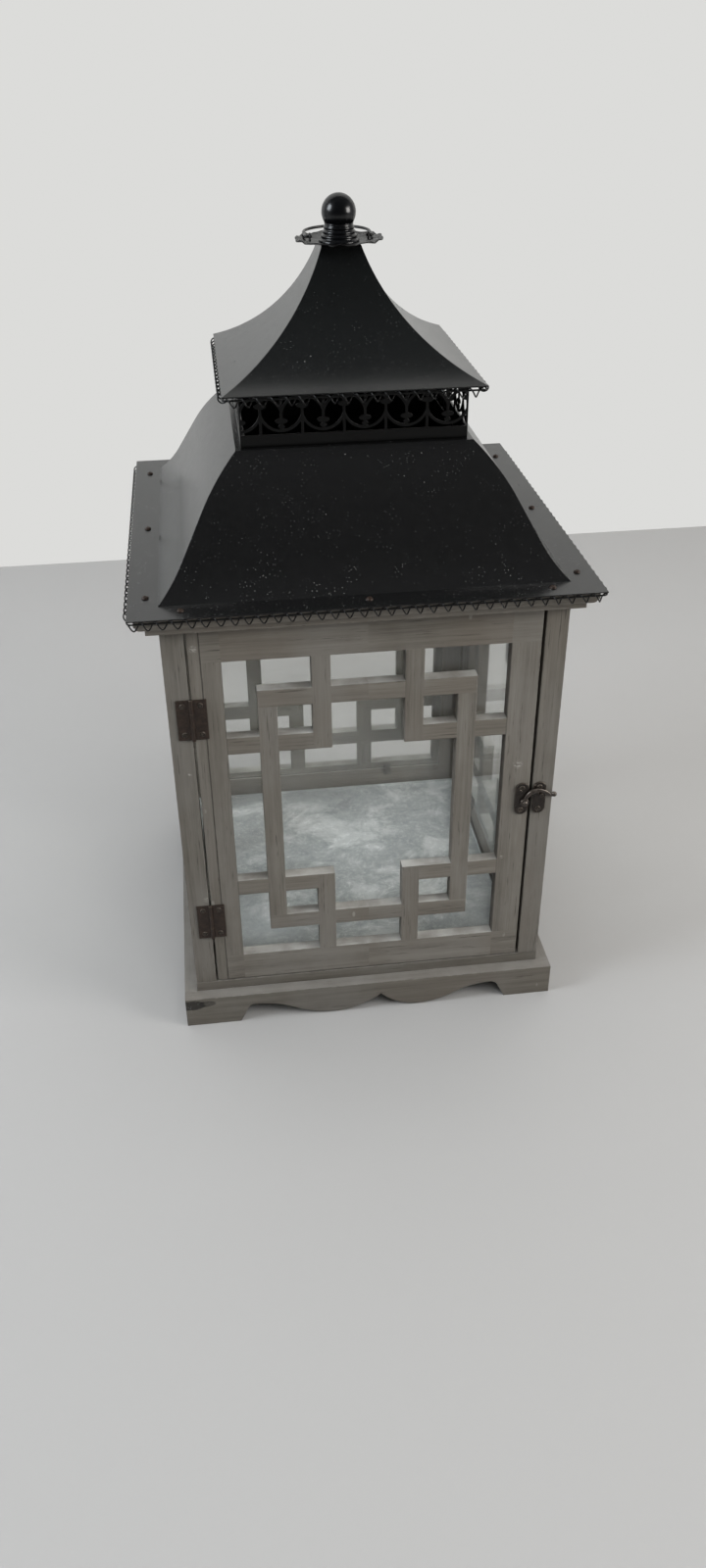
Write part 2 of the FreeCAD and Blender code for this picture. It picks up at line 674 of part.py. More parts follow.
def wood_screw(name, x, y, z, seat):
    """A slotted wood screw driven in from the front, its head bedded in a plate of depth seat."""
    sunk = f"({seat})"
    shank = cylinder(name + "_shank", x, f"{y} + {sunk} + screw_length", z, "screw_radius",
                     f"screw_length + {sunk}", OUTWARD)
    head = cylinder(name + "_head", x, f"{y} + {sunk} / 2", z, "screw_head_radius",
                    f"screw_head_rise + {sunk} / 2", OUTWARD)
    slot = box(name + "_slot", f"{x} - screw_head_radius - 1", f"{y} - screw_head_rise - 1",
               f"{z} - screw_slot / 2", "2 * screw_head_radius + 2", "1.3", "screw_slot")
    return cut(name, fuse(name + "_blank", [shank, head]), slot)


def screw_seat(name, x, y, z, seat):
    """The hole in a plate that takes a wood screw: a clear bore and a counterbore for the head."""
    bore = cylinder(name + "_bore", x, f"{y} + ({seat}) + 1", z, "screw_radius + pilot_clearance",
                    f"({seat}) + 2", OUTWARD)
    sink = cylinder(name + "_sink", x, f"{y} + ({seat}) / 2", z, "screw_head_radius + pilot_clearance",
                    f"({seat}) / 2 + 1", OUTWARD)
    return [bore, sink]


def pilot(name, x, z):
    """A screw's hole in a front post or the door, from its face inwards."""
    return cylinder(name, x, "screw_length - body_half", z, "screw_radius + pilot_clearance",
                    "screw_length + 1", OUTWARD)


HINGES = (("upper", "post_top - upper_hinge_drop"), ("lower", "base_top + lower_hinge_z"))
LEAF_FACE = "(-body_half - seat_gap - leaf_thickness)"
FRAME_SCREW_X = "(hinge_x - leaf_width / 2 - knuckle_radius / 2)"
DOOR_SCREW_X = "(hinge_x + leaf_width / 2 + knuckle_radius / 2)"


def leaf_screw_levels(middle):
    return [f"{middle} {sign} (leaf_height / 2 - leaf_screw_inset)" for sign in ("-", "+")]


def hinge(word, middle):
    """One butt hinge: a leaf on the post, a leaf on the door and the pin between them."""
    low = f"({middle} - leaf_height / 2)"
    bore = f"{word}_hinge_bore"
    for owner, start, screw_x in (("frame", "hinge_x - leaf_width", FRAME_SCREW_X),
                                  ("door", "hinge_x", DOOR_SCREW_X)):
        name = f"{word}_hinge_{owner}_leaf"
        plate = box(name + "_plate", start, LEAF_FACE, low, "leaf_width", "leaf_thickness", "leaf_height")
        around = "knuckle_radius + knuckle_gap"
        end = "(leaf_height - knuckle_share) / 2"
        if owner == "frame":
            clear = [(f"{low} + {end} - knuckle_gap", "knuckle_share + 2 * knuckle_gap")]
            kept = [(low, end + " - knuckle_gap"), (f"{low} + {end} + knuckle_share + knuckle_gap",
                                                   end + " - knuckle_gap")]
        else:
            clear = [(f"{low} - 1", f"{end} + 1"), (f"{low} + {end} + knuckle_share", f"{end} + 1")]
            kept = [(f"{low} + {end}", "knuckle_share")]
        reliefs = [cylinder(f"{name}_relief_{n}", "hinge_x", "hinge_y", z, around, tall)
                   for n, (z, tall) in enumerate(clear)]
        inner = "hinge_x - knuckle_radius" if owner == "frame" else "hinge_x - knuckle_gap"
        edge = box(name + "_edge", inner, LEAF_FACE + " - 1", low + " - 1",
                   "knuckle_radius + knuckle_gap", "leaf_thickness + 3", "leaf_height + 2")
        trimmed = cut(name + "_trimmed", plate, group(name + "_reliefs", reliefs + [edge]))
        knuckles = []
        for n, (z, tall) in enumerate(kept):
            knuckles.append(cylinder(f"{name}_knuckle_{n}", "hinge_x", "hinge_y", z, "knuckle_radius", tall))
            web_x = "hinge_x - knuckle_radius - 0.2" if owner == "frame" else "hinge_x"
            knuckles.append(box(f"{name}_web_{n}", web_x, LEAF_FACE, z, "knuckle_radius + 0.2",
                                "leaf_thickness", tall))
        holes = [cylinder(f"{name}_bore", "hinge_x", "hinge_y", low + " - 1",
                          "pin_radius + pin_clearance", "leaf_height + 2")]
        for n, level in enumerate(leaf_screw_levels(middle)):
            holes += screw_seat(f"{name}_seat_{n}", screw_x, LEAF_FACE, level, "leaf_thickness")
        cut(name, fuse(name + "_solid", [trimmed] + knuckles), group(name + "_holes", holes))
    shaft = cylinder(f"{word}_pin_shaft", "hinge_x", "hinge_y", low, "pin_radius", "leaf_height")
    heads = [cylinder(f"{word}_pin_{n}", "hinge_x", "hinge_y", z, "knuckle_radius - 0.3", "pin_head")
             for n, z in enumerate([f"{low} - pin_head - seat_gap", f"{low} + leaf_height + seat_gap"])]
    core = cylinder(f"{word}_pin_core", "hinge_x", "hinge_y", f"{low} - pin_head", "pin_radius",
                    "leaf_height + 2 * pin_head")
    fuse(f"{word}_hinge_pin", [shaft, core] + heads)


def stadium(name, x, z):
    """A latch plate with round ends, flat on the front."""
    radius = "plate_width / 2"
    low = f"{z} - plate_height / 2 + {radius}"
    back = "-body_half - seat_gap"
    middle = box(name + "_web", f"{x} - {radius}", f"{back} - plate_thickness", low,
                 "plate_width", "plate_thickness", "plate_height - plate_width")
    ends = [cylinder(f"{name}_end_{n}", x, back, level, radius, "plate_thickness", OUTWARD)
            for n, level in enumerate([low, f"{z} + plate_height / 2 - {radius}"])]
    return fuse(name + "_blank", [middle] + ends)


PLATE_LEVELS = ["latch_mid - plate_screw_z", "latch_mid + plate_screw_z"]
PLATE_FACE = "(-body_half - seat_gap - plate_thickness)"


def latch():
    """Door plate, rivet, hook, and the keeper with its peg."""
    rivet_x = "latch_x + pivot_x"
    rivet_z = "latch_mid + pivot_z"
    blank = stadium("latch_plate", "latch_x", "latch_mid")
    holes = []
    for n, level in enumerate(PLATE_LEVELS):
        holes += screw_seat(f"latch_plate_seat_{n}", "latch_x", PLATE_FACE, level, "plate_thickness")
    holes.append(cylinder("latch_plate_bore", rivet_x, "-body_half", rivet_z,
                          "pivot_radius + pilot_clearance", "plate_thickness + 2", OUTWARD))
    cut("latch_plate", blank, group("latch_plate_holes", holes))
    shank = cylinder("rivet_shank", rivet_x, "-body_half - seat_gap", rivet_z, "pivot_radius",
                     "-body_half - hook_front + hook_clearance", OUTWARD)
    head = cylinder("rivet_head", rivet_x, "hook_front - hook_clearance", rivet_z,
                    "pivot_head_radius", "pivot_head_rise", OUTWARD)
    fuse("latch_rivet", [shank, head])
    keeper = stadium("latch_keeper", "keeper_x", "latch_mid")
    holes = []
    for n, level in enumerate(PLATE_LEVELS):
        holes += screw_seat(f"latch_keeper_seat_{n}", "keeper_x", PLATE_FACE, level, "plate_thickness")
    crown_z = f"{rivet_z} + hook_rise_radius"
    peg_x = f"{rivet_x} + hook_rise_radius + peg_offset"
    peg_drop = "hook_fall_radius - sqrt((hook_fall_radius - hook_width / 2)^2 - peg_offset^2)"
    peg_z = f"{crown_z} - ({peg_drop}) - peg_radius - hook_clearance"
    peg = cylinder("keeper_peg", peg_x, PLATE_FACE + " + 0.5", peg_z, "peg_radius",
                   "0.5 + plate_face - hook_front + peg_reach", OUTWARD)
    cut("latch_keeper", fuse("latch_keeper_solid", [keeper, peg]), group("latch_keeper_holes", holes))
    hook(rivet_x, rivet_z)


def hook_outline():
    """The arm's closed outline, from the boss over the crown to the curl, round the rivet at 0, 0."""
    half = size.hook_width / 2
    rise, fall, curl = size.hook_rise_radius, size.hook_fall_radius, size.hook_curl_radius
    crown = (rise, rise)
    fall_centre = (crown[0], crown[1] - fall)
    fall_end = 90 - size.hook_fall_angle
    low = on_circle(fall_centre, fall, fall_end)
    curl_centre = (low[0] + curl * math.cos(math.radians(fall_end)),
                   low[1] + curl * math.sin(math.radians(fall_end)))
    curl_start = 180 + fall_end
    curl_stop = 270 + size.hook_curl_angle
    outer = [
        circle_arc((rise, 0), rise + half, 180, 90),
        circle_arc(fall_centre, fall + half, 90, fall_end),
        circle_arc(curl_centre, curl - half, curl_start, curl_stop),
    ]
    inner = [
        circle_arc((rise, 0), rise - half, 180, 90),
        circle_arc(fall_centre, fall - half, 90, fall_end),
        circle_arc(curl_centre, curl + half, curl_start, curl_stop),
    ]
    ends = [
        line((-half, 0), (half, 0)),
        line(on_circle(curl_centre, curl - half, curl_stop), on_circle(curl_centre, curl + half, curl_stop)),
    ]
    return outer + inner + ends, on_circle(curl_centre, curl, curl_stop)


def hook(rivet_x, rivet_z):
    """The swinging hook: a flat curved arm with a boss at one end and a finger ball at the other."""
    edges, tip = hook_outline()
    body = doc.addObject("PartDesign::Body", "hook_arm")
    sketch = sketch_in(body, "hook_outline", edges)
    pad = body.newObject("PartDesign::Pad", "hook_pad")
    pad.Profile = sketch
    bind(pad, Length="hook_thickness")
    turn(body, Vector(1, 0, 0), 90)
    place(body, rivet_x, "hook_back - seat_gap", rivet_z)
    boss = cylinder("hook_boss", rivet_x, "plate_face - hook_clearance", rivet_z, "hook_boss_radius",
                    "screw_head_rise + seat_gap + hook_thickness", OUTWARD)
    ball = bind(doc.addObject("Part::Sphere", "hook_ball"), Radius="hook_ball_radius")
    place(ball, f"{rivet_x} + {tip[0]}", "hook_back - seat_gap - hook_thickness / 2", f"{rivet_z} + {tip[1]}")
    bore = cylinder("hook_bore", rivet_x, "-body_half", rivet_z,
                    "pivot_radius + hook_bore_clearance", "20", OUTWARD)
    cut("latch_hook", fuse("hook_solid", [body, boss, ball]), bore)


def front_posts():
    """The two posts beside the door, with the hardware's screw holes."""
    left_holes = []
    for word, middle in HINGES:
        for n, level in enumerate(leaf_screw_levels(middle)):
            left_holes.append(pilot(f"post_hole_{word}_{n}", FRAME_SCREW_X, level))
    right_holes = [pilot(f"post_hole_keeper_{n}", "keeper_x", level) for n, level in enumerate(PLATE_LEVELS)]
    for hand, x, holes in (("left", "-body_half", left_holes), ("right", "doorway_half", right_holes)):
        stick = board(f"post_{hand}_stick", x, "-body_half", "base_top", "post_width", "post_width",
                      "post_height")
        cut(f"post_front_{hand}", stick, group(f"post_{hand}_holes", holes))


def door():
    """The fretwork door, its hinge strip, glass and clips, with the hardware's screw holes."""
    seam = "(door_left + strip_width)"
    panel, openings = fretwork("door_panel", seam, "door_right", "door_low", "door_height")
    blank = cut("door_blank", panel, group("door_openings", openings))
    on_side(blank, 0, "body_half")
    latch_holes = [pilot(f"door_hole_latch_{n}", "latch_x", level) for n, level in enumerate(PLATE_LEVELS)]
    cut("door_panel", blank, group("door_panel_holes", latch_holes))
    strip = board("strip_stick", "door_left", "-body_half", "door_low", "strip_width - seat_gap",
                  "panel_thickness", "door_height")
    strip_holes = []
    for word, middle in HINGES:
        for n, level in enumerate(leaf_screw_levels(middle)):
            strip_holes.append(pilot(f"strip_hole_{word}_{n}", DOOR_SCREW_X, level))
    cut("door_hinge_strip", strip, group("strip_holes", strip_holes))
    for item in (pane("door_glass"), clips("glazing_clips_door")):
        on_side(item, 0, "body_half")


def hardware_screws():
    """Screws in the cabinet and in the door, one node for each."""
    cabinet_screws, door_screws = [], []
    for word, middle in HINGES:
        for n, level in enumerate(leaf_screw_levels(middle)):
            cabinet_screws.append(
                wood_screw(f"frame_screw_{word}_{n}", FRAME_SCREW_X, LEAF_FACE, level, "leaf_thickness"))
            door_screws.append(
                wood_screw(f"door_screw_{word}_{n}", DOOR_SCREW_X, LEAF_FACE, level, "leaf_thickness"))
    for n, level in enumerate(PLATE_LEVELS):
        cabinet_screws.append(
            wood_screw(f"keeper_screw_{n}", "keeper_x", PLATE_FACE, level, "plate_thickness"))
        door_screws.append(wood_screw(f"plate_screw_{n}", "latch_x", PLATE_FACE, level, "plate_thickness"))
    group("cabinet_hardware_screws", cabinet_screws)
    group("door_hardware_screws", door_screws)


# ---------------------------------------------------------------------------------------------
# Roofs
# ---------------------------------------------------------------------------------------------


def slope_point(centre, radius, degrees):
    """The point of a roof arc where its face slopes down by so many degrees."""
    angle = math.radians(degrees)
    return (centre[0] + radius * math.sin(angle), centre[1] + radius * math.cos(angle))


def slope_arc(centre, radius, start, end):
    return arc(*(slope_point(centre, radius, a) for a in (start, (start + end) / 2, end)))


def lower_roof_section(inset, floor):
    """Half outline of the lower roof, from the lip to the brim, set in by inset, down to floor."""
    steep = math.radians(size.face_slope)
    first, last = math.radians(size.shoulder_slope), math.radians(size.brim_slope)
    shoulder = (size.lip_half - size.shoulder_radius * math.sin(first),
                size.lip_top - size.shoulder_radius * math.cos(first))
    knee = slope_point(shoulder, size.shoulder_radius, size.face_slope)
    drop = size.brim_radius * (math.cos(last) - math.cos(steep))
    length = (knee[1] - size.brim_top - drop) / math.sin(steep)
    ankle = (knee[0] + length * math.cos(steep), knee[1] - length * math.sin(steep))
    hollow = (ankle[0] + size.brim_radius * math.sin(steep), ankle[1] + size.brim_radius * math.cos(steep))
    near, far = size.shoulder_radius - inset, size.brim_radius + inset
    lip, brim = size.lip_top - inset, size.brim_top - inset
    start = math.degrees(math.acos((lip - shoulder[1]) / near))
    end = math.degrees(math.acos((hollow[1] - brim) / far))
    top = slope_point(shoulder, near, start)
    foot = slope_point(hollow, -far, end)
    upper = slope_arc(shoulder, near, start, size.face_slope)
    lower = slope_arc(hollow, -far, size.face_slope, end)
    straight = line(slope_point(shoulder, near, size.face_slope), slope_point(hollow, -far, size.face_slope))
    edge = size.brim_half if inset == 0 else foot[0]
    edges = [line((0, lip), top), upper, straight, lower]
    if inset == 0:
        edges.append(line(foot, (edge, brim)))
    edges += [line((edge, brim), (edge, floor)), line((edge, floor), (0, floor))]
    return edges


def lower_roof():
    """The broad roof: an S-curved sheet with a flat brim and a square throat under the gallery."""
    reach = "2 * brim_half + 20"
    outer = mitred("roof_outer", mirrored(lower_roof_section(0, size.brim_under)), reach)
    inner = mitred("roof_inner", mirrored(lower_roof_section(size.roof_gauge, size.brim_under - 5)), reach)
    throat = box("roof_throat", "-throat_half", "-throat_half", "lip_top - 5",
                 "2 * throat_half", "2 * throat_half", "10")
    holes = [
        cylinder(f"brim_hole_{n}", x, y, "brim_under - 1", "brim_screw_radius + pilot_clearance",
                 "roof_gauge + 2")
        for n, (x, y) in enumerate(brim_screw_places())
    ]
    shell = cut("roof_shell", outer, inner)
    cut("lower_roof", shell, group("roof_openings", [throat] + holes))
    screws = []
    for n, (x, y) in enumerate(brim_screw_places()):
        shank = cylinder(f"brim_screw_{n}_shank", x, y, "board_top - brim_screw_length + seat_gap",
                         "brim_screw_radius", "brim_screw_length + roof_gauge + brim_head_rise / 2")
        head = cylinder(f"brim_screw_{n}_head", x, y, "brim_top + seat_gap", "brim_head_radius",
                        "brim_head_rise")
        slot = box(f"brim_screw_{n}_slot", f"{x} - brim_head_radius - 1", f"{y} - screw_slot / 2",
                   "brim_top + seat_gap + brim_head_rise - screw_slot",
                   "2 * brim_head_radius + 2", "screw_slot", "screw_slot + 1")
        screws.append(cut(f"brim_screw_{n}", fuse(f"brim_screw_{n}_blank", [shank, head]), slot))
    group("brim_screws", screws)


def pagoda_arc():
    """The upper roof's concave face, as (centre, radius, slope at the cap, slope at the eave)."""
    run = size.eave_half - size.cap_half
    chord = math.hypot(run, size.upper_height)
    hollow = size.pagoda_hollow
    radius = chord ** 2 / (8 * hollow) + hollow / 2
    middle = math.degrees(math.atan2(size.upper_height, run))
    half = math.degrees(math.asin(chord / 2 / radius))
    at_cap = math.radians(middle + half)
    centre = (size.cap_half + radius * math.sin(at_cap), size.cap_top + radius * math.cos(at_cap))
    return centre, radius, middle + half, middle - half


def eave_under(distance):
    """Height of the upper roof's underside at a distance from the middle."""
    centre, radius, _, _ = pagoda_arc()
    reach = radius + size.roof_gauge
    return centre[1] - math.sqrt(reach ** 2 - (centre[0] - distance) ** 2)


def upper_roof_section(inset, floor):
    """Half outline of the upper roof, from the cap to the eave, set in by inset, down to floor."""
    centre, radius, at_cap, at_eave = pagoda_arc()
    reach = radius + inset
    cap = size.cap_top - inset
    start = math.degrees(math.acos((centre[1] - cap) / reach))
    end = math.degrees(math.asin((centre[0] - size.eave_half) / reach))
    top = slope_point(centre, -reach, start)
    eave = slope_point(centre, -reach, end)
    return [
        line((0, cap), top),
        slope_arc(centre, -reach, start, end),
        line(eave, (eave[0], floor)),
        line((eave[0], floor), (0, floor)),
    ]


def hip_wedge(name, quarter):
    """One side's quarter of the upper roof's plan, just short of the hips."""
    reach = size.eave_half + 10
    corners = [(0, 0), (-reach, -reach), (reach, -reach)]
    edges = [line(corners[n], corners[(n + 1) % 3]) for n in range(3)]
    prism = doc.addObject("Part::Extrusion", name)
    prism.Base = sketch_in(None, name + "_outline", edges)
    prism.DirMode = "Normal"
    prism.Solid = True
    bind(prism, LengthFwd="cap_top + 10")
    return on_side(prism, quarter, "seat_gap")


def upper_roof():
    """The small roof: four concave sheets soldered at the hips, and a cap with the rod's hole."""
    floor = eave_under(size.eave_half)
    reach = "2 * eave_half + 20"
    outer = mitred("cap_outer", mirrored(upper_roof_section(0, floor)), reach)
    inner = mitred("cap_inner", mirrored(upper_roof_section(size.roof_gauge, floor - 5)), reach)
    shell = cut("cap_shell", outer, inner)
    block = box("cap_block", "-cap_half", "-cap_half", "cap_top - roof_gauge",
                "2 * cap_half", "2 * cap_half", "2 * roof_gauge")
    hole = cylinder("cap_hole", "0", "0", "cap_top - 5", "rod_radius + rod_clearance", "10")
    cap = cut("upper_roof_cap", common("cap_square", shell, block), hole)
    around = box("cap_room", "-cap_half - seat_gap", "-cap_half - seat_gap",
                 "cap_top - roof_gauge - seat_gap", "2 * (cap_half + seat_gap)",
                 "2 * (cap_half + seat_gap)", "2 * roof_gauge")
    slopes = cut("upper_roof_slopes", shell, around)
    sheets = [
        common(f"upper_roof_{hand}", slopes, hip_wedge(f"hip_wedge_{hand}", quarter))
        for quarter, hand in enumerate(("front", "right", "back", "left"))
    ]
    group("upper_roof", [cap] + sheets)


# ---------------------------------------------------------------------------------------------
# Openwork gallery
# ---------------------------------------------------------------------------------------------


def ribbon(centre, radius, width, start, end):
    """A flat strand along an arc."""
    outer, inner = radius + width / 2, radius - width / 2
    edges = [
        circle_arc(centre, outer, start, end),
        line(on_circle(centre, outer, end), on_circle(centre, inner, end)),
        circle_arc(centre, inner, end, start),
        line(on_circle(centre, inner, start), on_circle(centre, outer, start)),
    ]
    return Part.Face(Part.Wire([edge.toShape() for edge in edges]))


def plate_face(x, low, high, width):
    corners = [(x - width / 2, low), (x + width / 2, low), (x + width / 2, high), (x - width / 2, high)]
    return Part.Face(Part.makePolygon([Vector(*p, 0) for p in corners + corners[:1]]))


def oval(x, level, length, height):
    ellipse = Part.Ellipse(Vector(x, level, 0), length / 2, height / 2)
    return Part.Face(Part.Wire([ellipse.toShape()]))


def gallery_pattern(half):
    """Swags hung from stems, a bud over each, and the same pattern inverted above, half a step on."""
    steps = round(size.half_periods)
    step = 2 * half / steps
    total = eave_under(size.gallery_half) - size.seat_gap - size.lip_top - size.seat_gap
    floor, ceiling = size.lower_band, total - size.upper_band
    drop = size.swag_spring - size.swag_low
    radius = (step ** 2 + drop ** 2) / (2 * drop)
    half_angle = math.degrees(math.asin(min(1.0, step / radius)))
    if drop > step:
        half_angle = 180 - half_angle
    faces = []
    for n in range(steps + 1):
        x = n * step - half
        hanging = n % 2 == 0
        near, sign = (ceiling, -1) if hanging else (floor, 1)
        tip = near + sign * (ceiling - floor - size.swag_low)
        faces.append(plate_face(x, min(near, tip), max(near, tip), size.stem_width))
        for level, length, tall in (
            (size.bud_level, size.bud_length, size.bud_height),
            (size.bead_level, size.bead_length, size.bead_height),
        ):
            faces.append(oval(x, near + sign * (ceiling - floor - level), length, tall))
        far, away = (floor, 1) if hanging else (ceiling, -1)
        centre = (x, far + away * (size.swag_low + radius))
        aim = 270 if hanging else 90
        faces.append(ribbon(centre, radius, size.strand_width, aim - half_angle, aim + half_angle))
    faces.append(plate_face(0, 0, floor + size.seat_gap, 2 * half))
    faces.append(plate_face(0, ceiling - size.seat_gap, total, 2 * half))
    return faces, total


def gallery(name, half, quarter):
    faces, total = gallery_pattern(half)
    solids = [face.extrude(Vector(0, 0, size.gallery_gauge)) for face in faces]
    shape = solids[0].multiFuse(solids[1:])
    bounds = Part.makeBox(2 * half, total, size.gallery_gauge, Vector(-half, 0, 0))
    shape = shape.common(bounds).removeSplitter()
    feature = doc.addObject("Part::Feature", name)
    feature.Shape = shape
    outer = FreeCAD.Rotation(Vector(1, 0, 0), 90)
    on_side(feature, quarter, "gallery_half - gallery_gauge", outer)
    feature.setExpression("Placement.Base.z", rule("lip_top + seat_gap"))


# ---------------------------------------------------------------------------------------------
# Wire trim on the eaves
# ---------------------------------------------------------------------------------------------


def helix_point(turns):
    """Where a coil round the X axis is, and the way it runs, so many turns from x = 0."""
    angle = 2 * math.pi * turns
    radius, pitch = size.trim_radius, size.trim_pitch
    point = Vector(pitch * turns, -radius * math.sin(angle), radius * math.cos(angle))
    along = Vector(pitch, -2 * math.pi * radius * math.cos(angle), -2 * math.pi * radius * math.sin(angle))
    return point, along.normalize()


def biarc(start, start_way, end, end_way):
    """Two arcs, tangent to each other and to the given directions."""
    gap, ways = end - start, start_way + end_way
    square = 4 - ways.dot(ways)
    middle = gap.dot(ways)
    reach = (math.sqrt(middle ** 2 + square * gap.dot(gap)) - middle) / square
    first, second = start + start_way * reach, end - end_way * reach
    joint = (first + second) * 0.5
    joint_way = (second - first).normalize()
    arcs = []
    for a, corner, b, way_a, way_b in (
        (start, first, joint, start_way, joint_way),
        (joint, second, end, joint_way, end_way),
    ):
        weight = math.sqrt((1 + way_a.dot(way_b)) / 2)
        arcs.append(Part.Arc(a, (a + b + corner * (2 * weight)) * (0.5 / (1 + weight)), b))
    return arcs


def coil_shape(turns):
    """One unbroken wire of so many turns round the X axis, centred on x = 0."""
    quarters = [helix_point(n / 4 - turns / 2) for n in range(4 * turns + 1)]
    edges = []
    for (start, start_way), (end, end_way) in zip(quarters, quarters[1:]):
        edges += [item.toShape() for item in biarc(start, start_way, end, end_way)]
    tail = size.trim_wire
    first, first_way = quarters[0]
    last, last_way = quarters[-1]
    edges.insert(0, Part.LineSegment(first - first_way * tail, first).toShape())
    edges.append(Part.LineSegment(last, last + last_way * tail).toShape())
    path = Part.Wire(edges)
    ring = Part.Wire([Part.Circle(first - first_way * tail, first_way, size.trim_wire / 2).toShape()])
    return path.makePipeShell([ring], True, False)


def coil_gap():
    """Least gap between one turn of the coil and the next, on points."""
    fine = [helix_point(n / 48)[0] for n in range(3 * 48)]
    apart = min(
        (a - b).Length for i, a in enumerate(fine[:48]) for b in fine[i + 24:i + 96]
    )
    return apart - size.trim_wire


def core_shape(half, radius):
    """A wire round the eave with bent corners, its front run along y = -half."""
    bend = size.core_corner
    edges = []
    for quarter in range(4):
        spin = FreeCAD.Rotation(UP, 90 * quarter)
        flat = half - bend
        run = [Vector(-flat, -half, 0), Vector(flat, -half, 0)]
        corner = Vector(flat + bend * math.sin(math.pi / 4), -flat - bend * math.cos(math.pi / 4), 0)
        edges.append(Part.LineSegment(spin.multVec(run[0]), spin.multVec(run[1])).toShape())
        edges.append(Part.Arc(spin.multVec(run[1]), spin.multVec(corner),
                              spin.multVec(Vector(half, -flat, 0))).toShape())
    path = Part.Wire(edges)
    ring = Part.Circle(Vector(-half + bend, -half, 0), Vector(1, 0, 0), radius).toShape()
    return path.makePipeShell([Part.Wire([ring])], True, False)


def plain_coil(name, half_length, half):
    """The outer shape of a coil: a rod with a bore where the straight wire runs."""
    rod = cylinder(name + "_rod", f"-({half_length})", "0", "0", "trim_outer", f"2 * ({half_length})",
                   Vector(1, 0, 0))
    bore = doc.addObject("Part::Feature", name + "_bore")
    bore.Shape = core_shape(half, size.core_wire / 2 + size.core_gap)
    bore.Placement.Base = Vector(0, half, core_lift())
    return cut(name, rod, bore)


def core_lift():
    """The straight wire's middle, above the coils' middle."""
    return size.trim_radius - size.trim_wire / 2 - size.core_gap - size.core_wire / 2


def trim(word, half, level, wound):
    """The trim under one eave: four coils round one bent wire."""
    middle = level - size.seat_gap - size.trim_outer
    core = doc.addObject("Part::Feature", f"{word}_eave_wire")
    core.Shape = core_shape(half, size.core_wire / 2)
    core.Placement.Base = Vector(0, 0, middle + core_lift())
    full = half + size.trim_outer
    between = half - size.trim_outer - size.core_gap - 2 * size.trim_wire
    for hand, quarter in (("front", 0), ("right", 1), ("back", 2), ("left", 3)):
        room = full - 2 * size.trim_wire if quarter % 2 == 0 else between
        turns = int(2 * room / size.trim_pitch)
        name = f"{word}_coil_{hand}"
        if hand in wound:
            feature = doc.addObject("Part::Feature", name)
            feature.Shape = coil_shape(turns)
        else:
            feature = plain_coil(name, f"trim_pitch * {turns} / 2 + trim_wire", half)
        on_side(feature, quarter, half)
        feature.setExpression("Placement.Base.z", rule(middle))


# ---------------------------------------------------------------------------------------------
# Finial and bail
# ---------------------------------------------------------------------------------------------


def revolved(name, points):
    """A solid turned round the Z axis from a closed outline of (radius, height) points."""
    face = Part.Face(Part.makePolygon([Vector(r, 0, z) for r, z in points + points[:1]]))
    feature = doc.addObject("Part::Feature", name)
    feature.Shape = face.revolve(Vector(0, 0, 0), UP, 360)
    return feature


def ruffled_disc():
    """A dished disc with a waved rim and two ears that hold the bail."""
    low, gauge = size.disc_under, size.disc_gauge
    bore = size.rod_radius + size.rod_clearance
    flat, rim = size.disc_flat, size.disc_radius
    edge = low + size.disc_rise
    dish = revolved("disc_dish", [(bore, low), (flat, low), (rim, edge), (rim, edge + gauge),
                                  (flat, low + gauge), (bore, low + gauge)])
    waves = round(size.disc_waves)
    notches = []
    for n in range(waves):
        angle = 360 / waves * (n + 0.5)
        radius = rim * math.pi / waves * 0.8
        x, y = on_circle((0, 0), rim - size.disc_ruffle + radius, angle)
        notches.append(cylinder(f"disc_notch_{n}", x, y, "disc_under - 1", radius,
                                "disc_rise + disc_gauge + 2"))
    plate = cut("disc_plate", dish, group("disc_notches", notches))
    ears = []
    for sign, hand in ((-1, "left"), (1, "right")):
        x = f"{sign} * (bail_half - ear_inset) - ear_thickness / 2"
        ears.append(box(f"ear_{hand}", x, "-ear_half", "disc_top - disc_gauge / 2", "ear_thickness",
                        "2 * ear_half", "bail_pivot_z - disc_top + (disc_gauge + bail_wire) / 2 + ear_margin"))
    hole = cylinder("ear_hole", "-bail_half", "0", "bail_pivot_z", "bail_wire / 2 + bail_clearance",
                    "2 * bail_half", Vector(1, 0, 0))
    cut("ruffled_disc", fuse("disc_with_ears", [plate] + ears), hole)


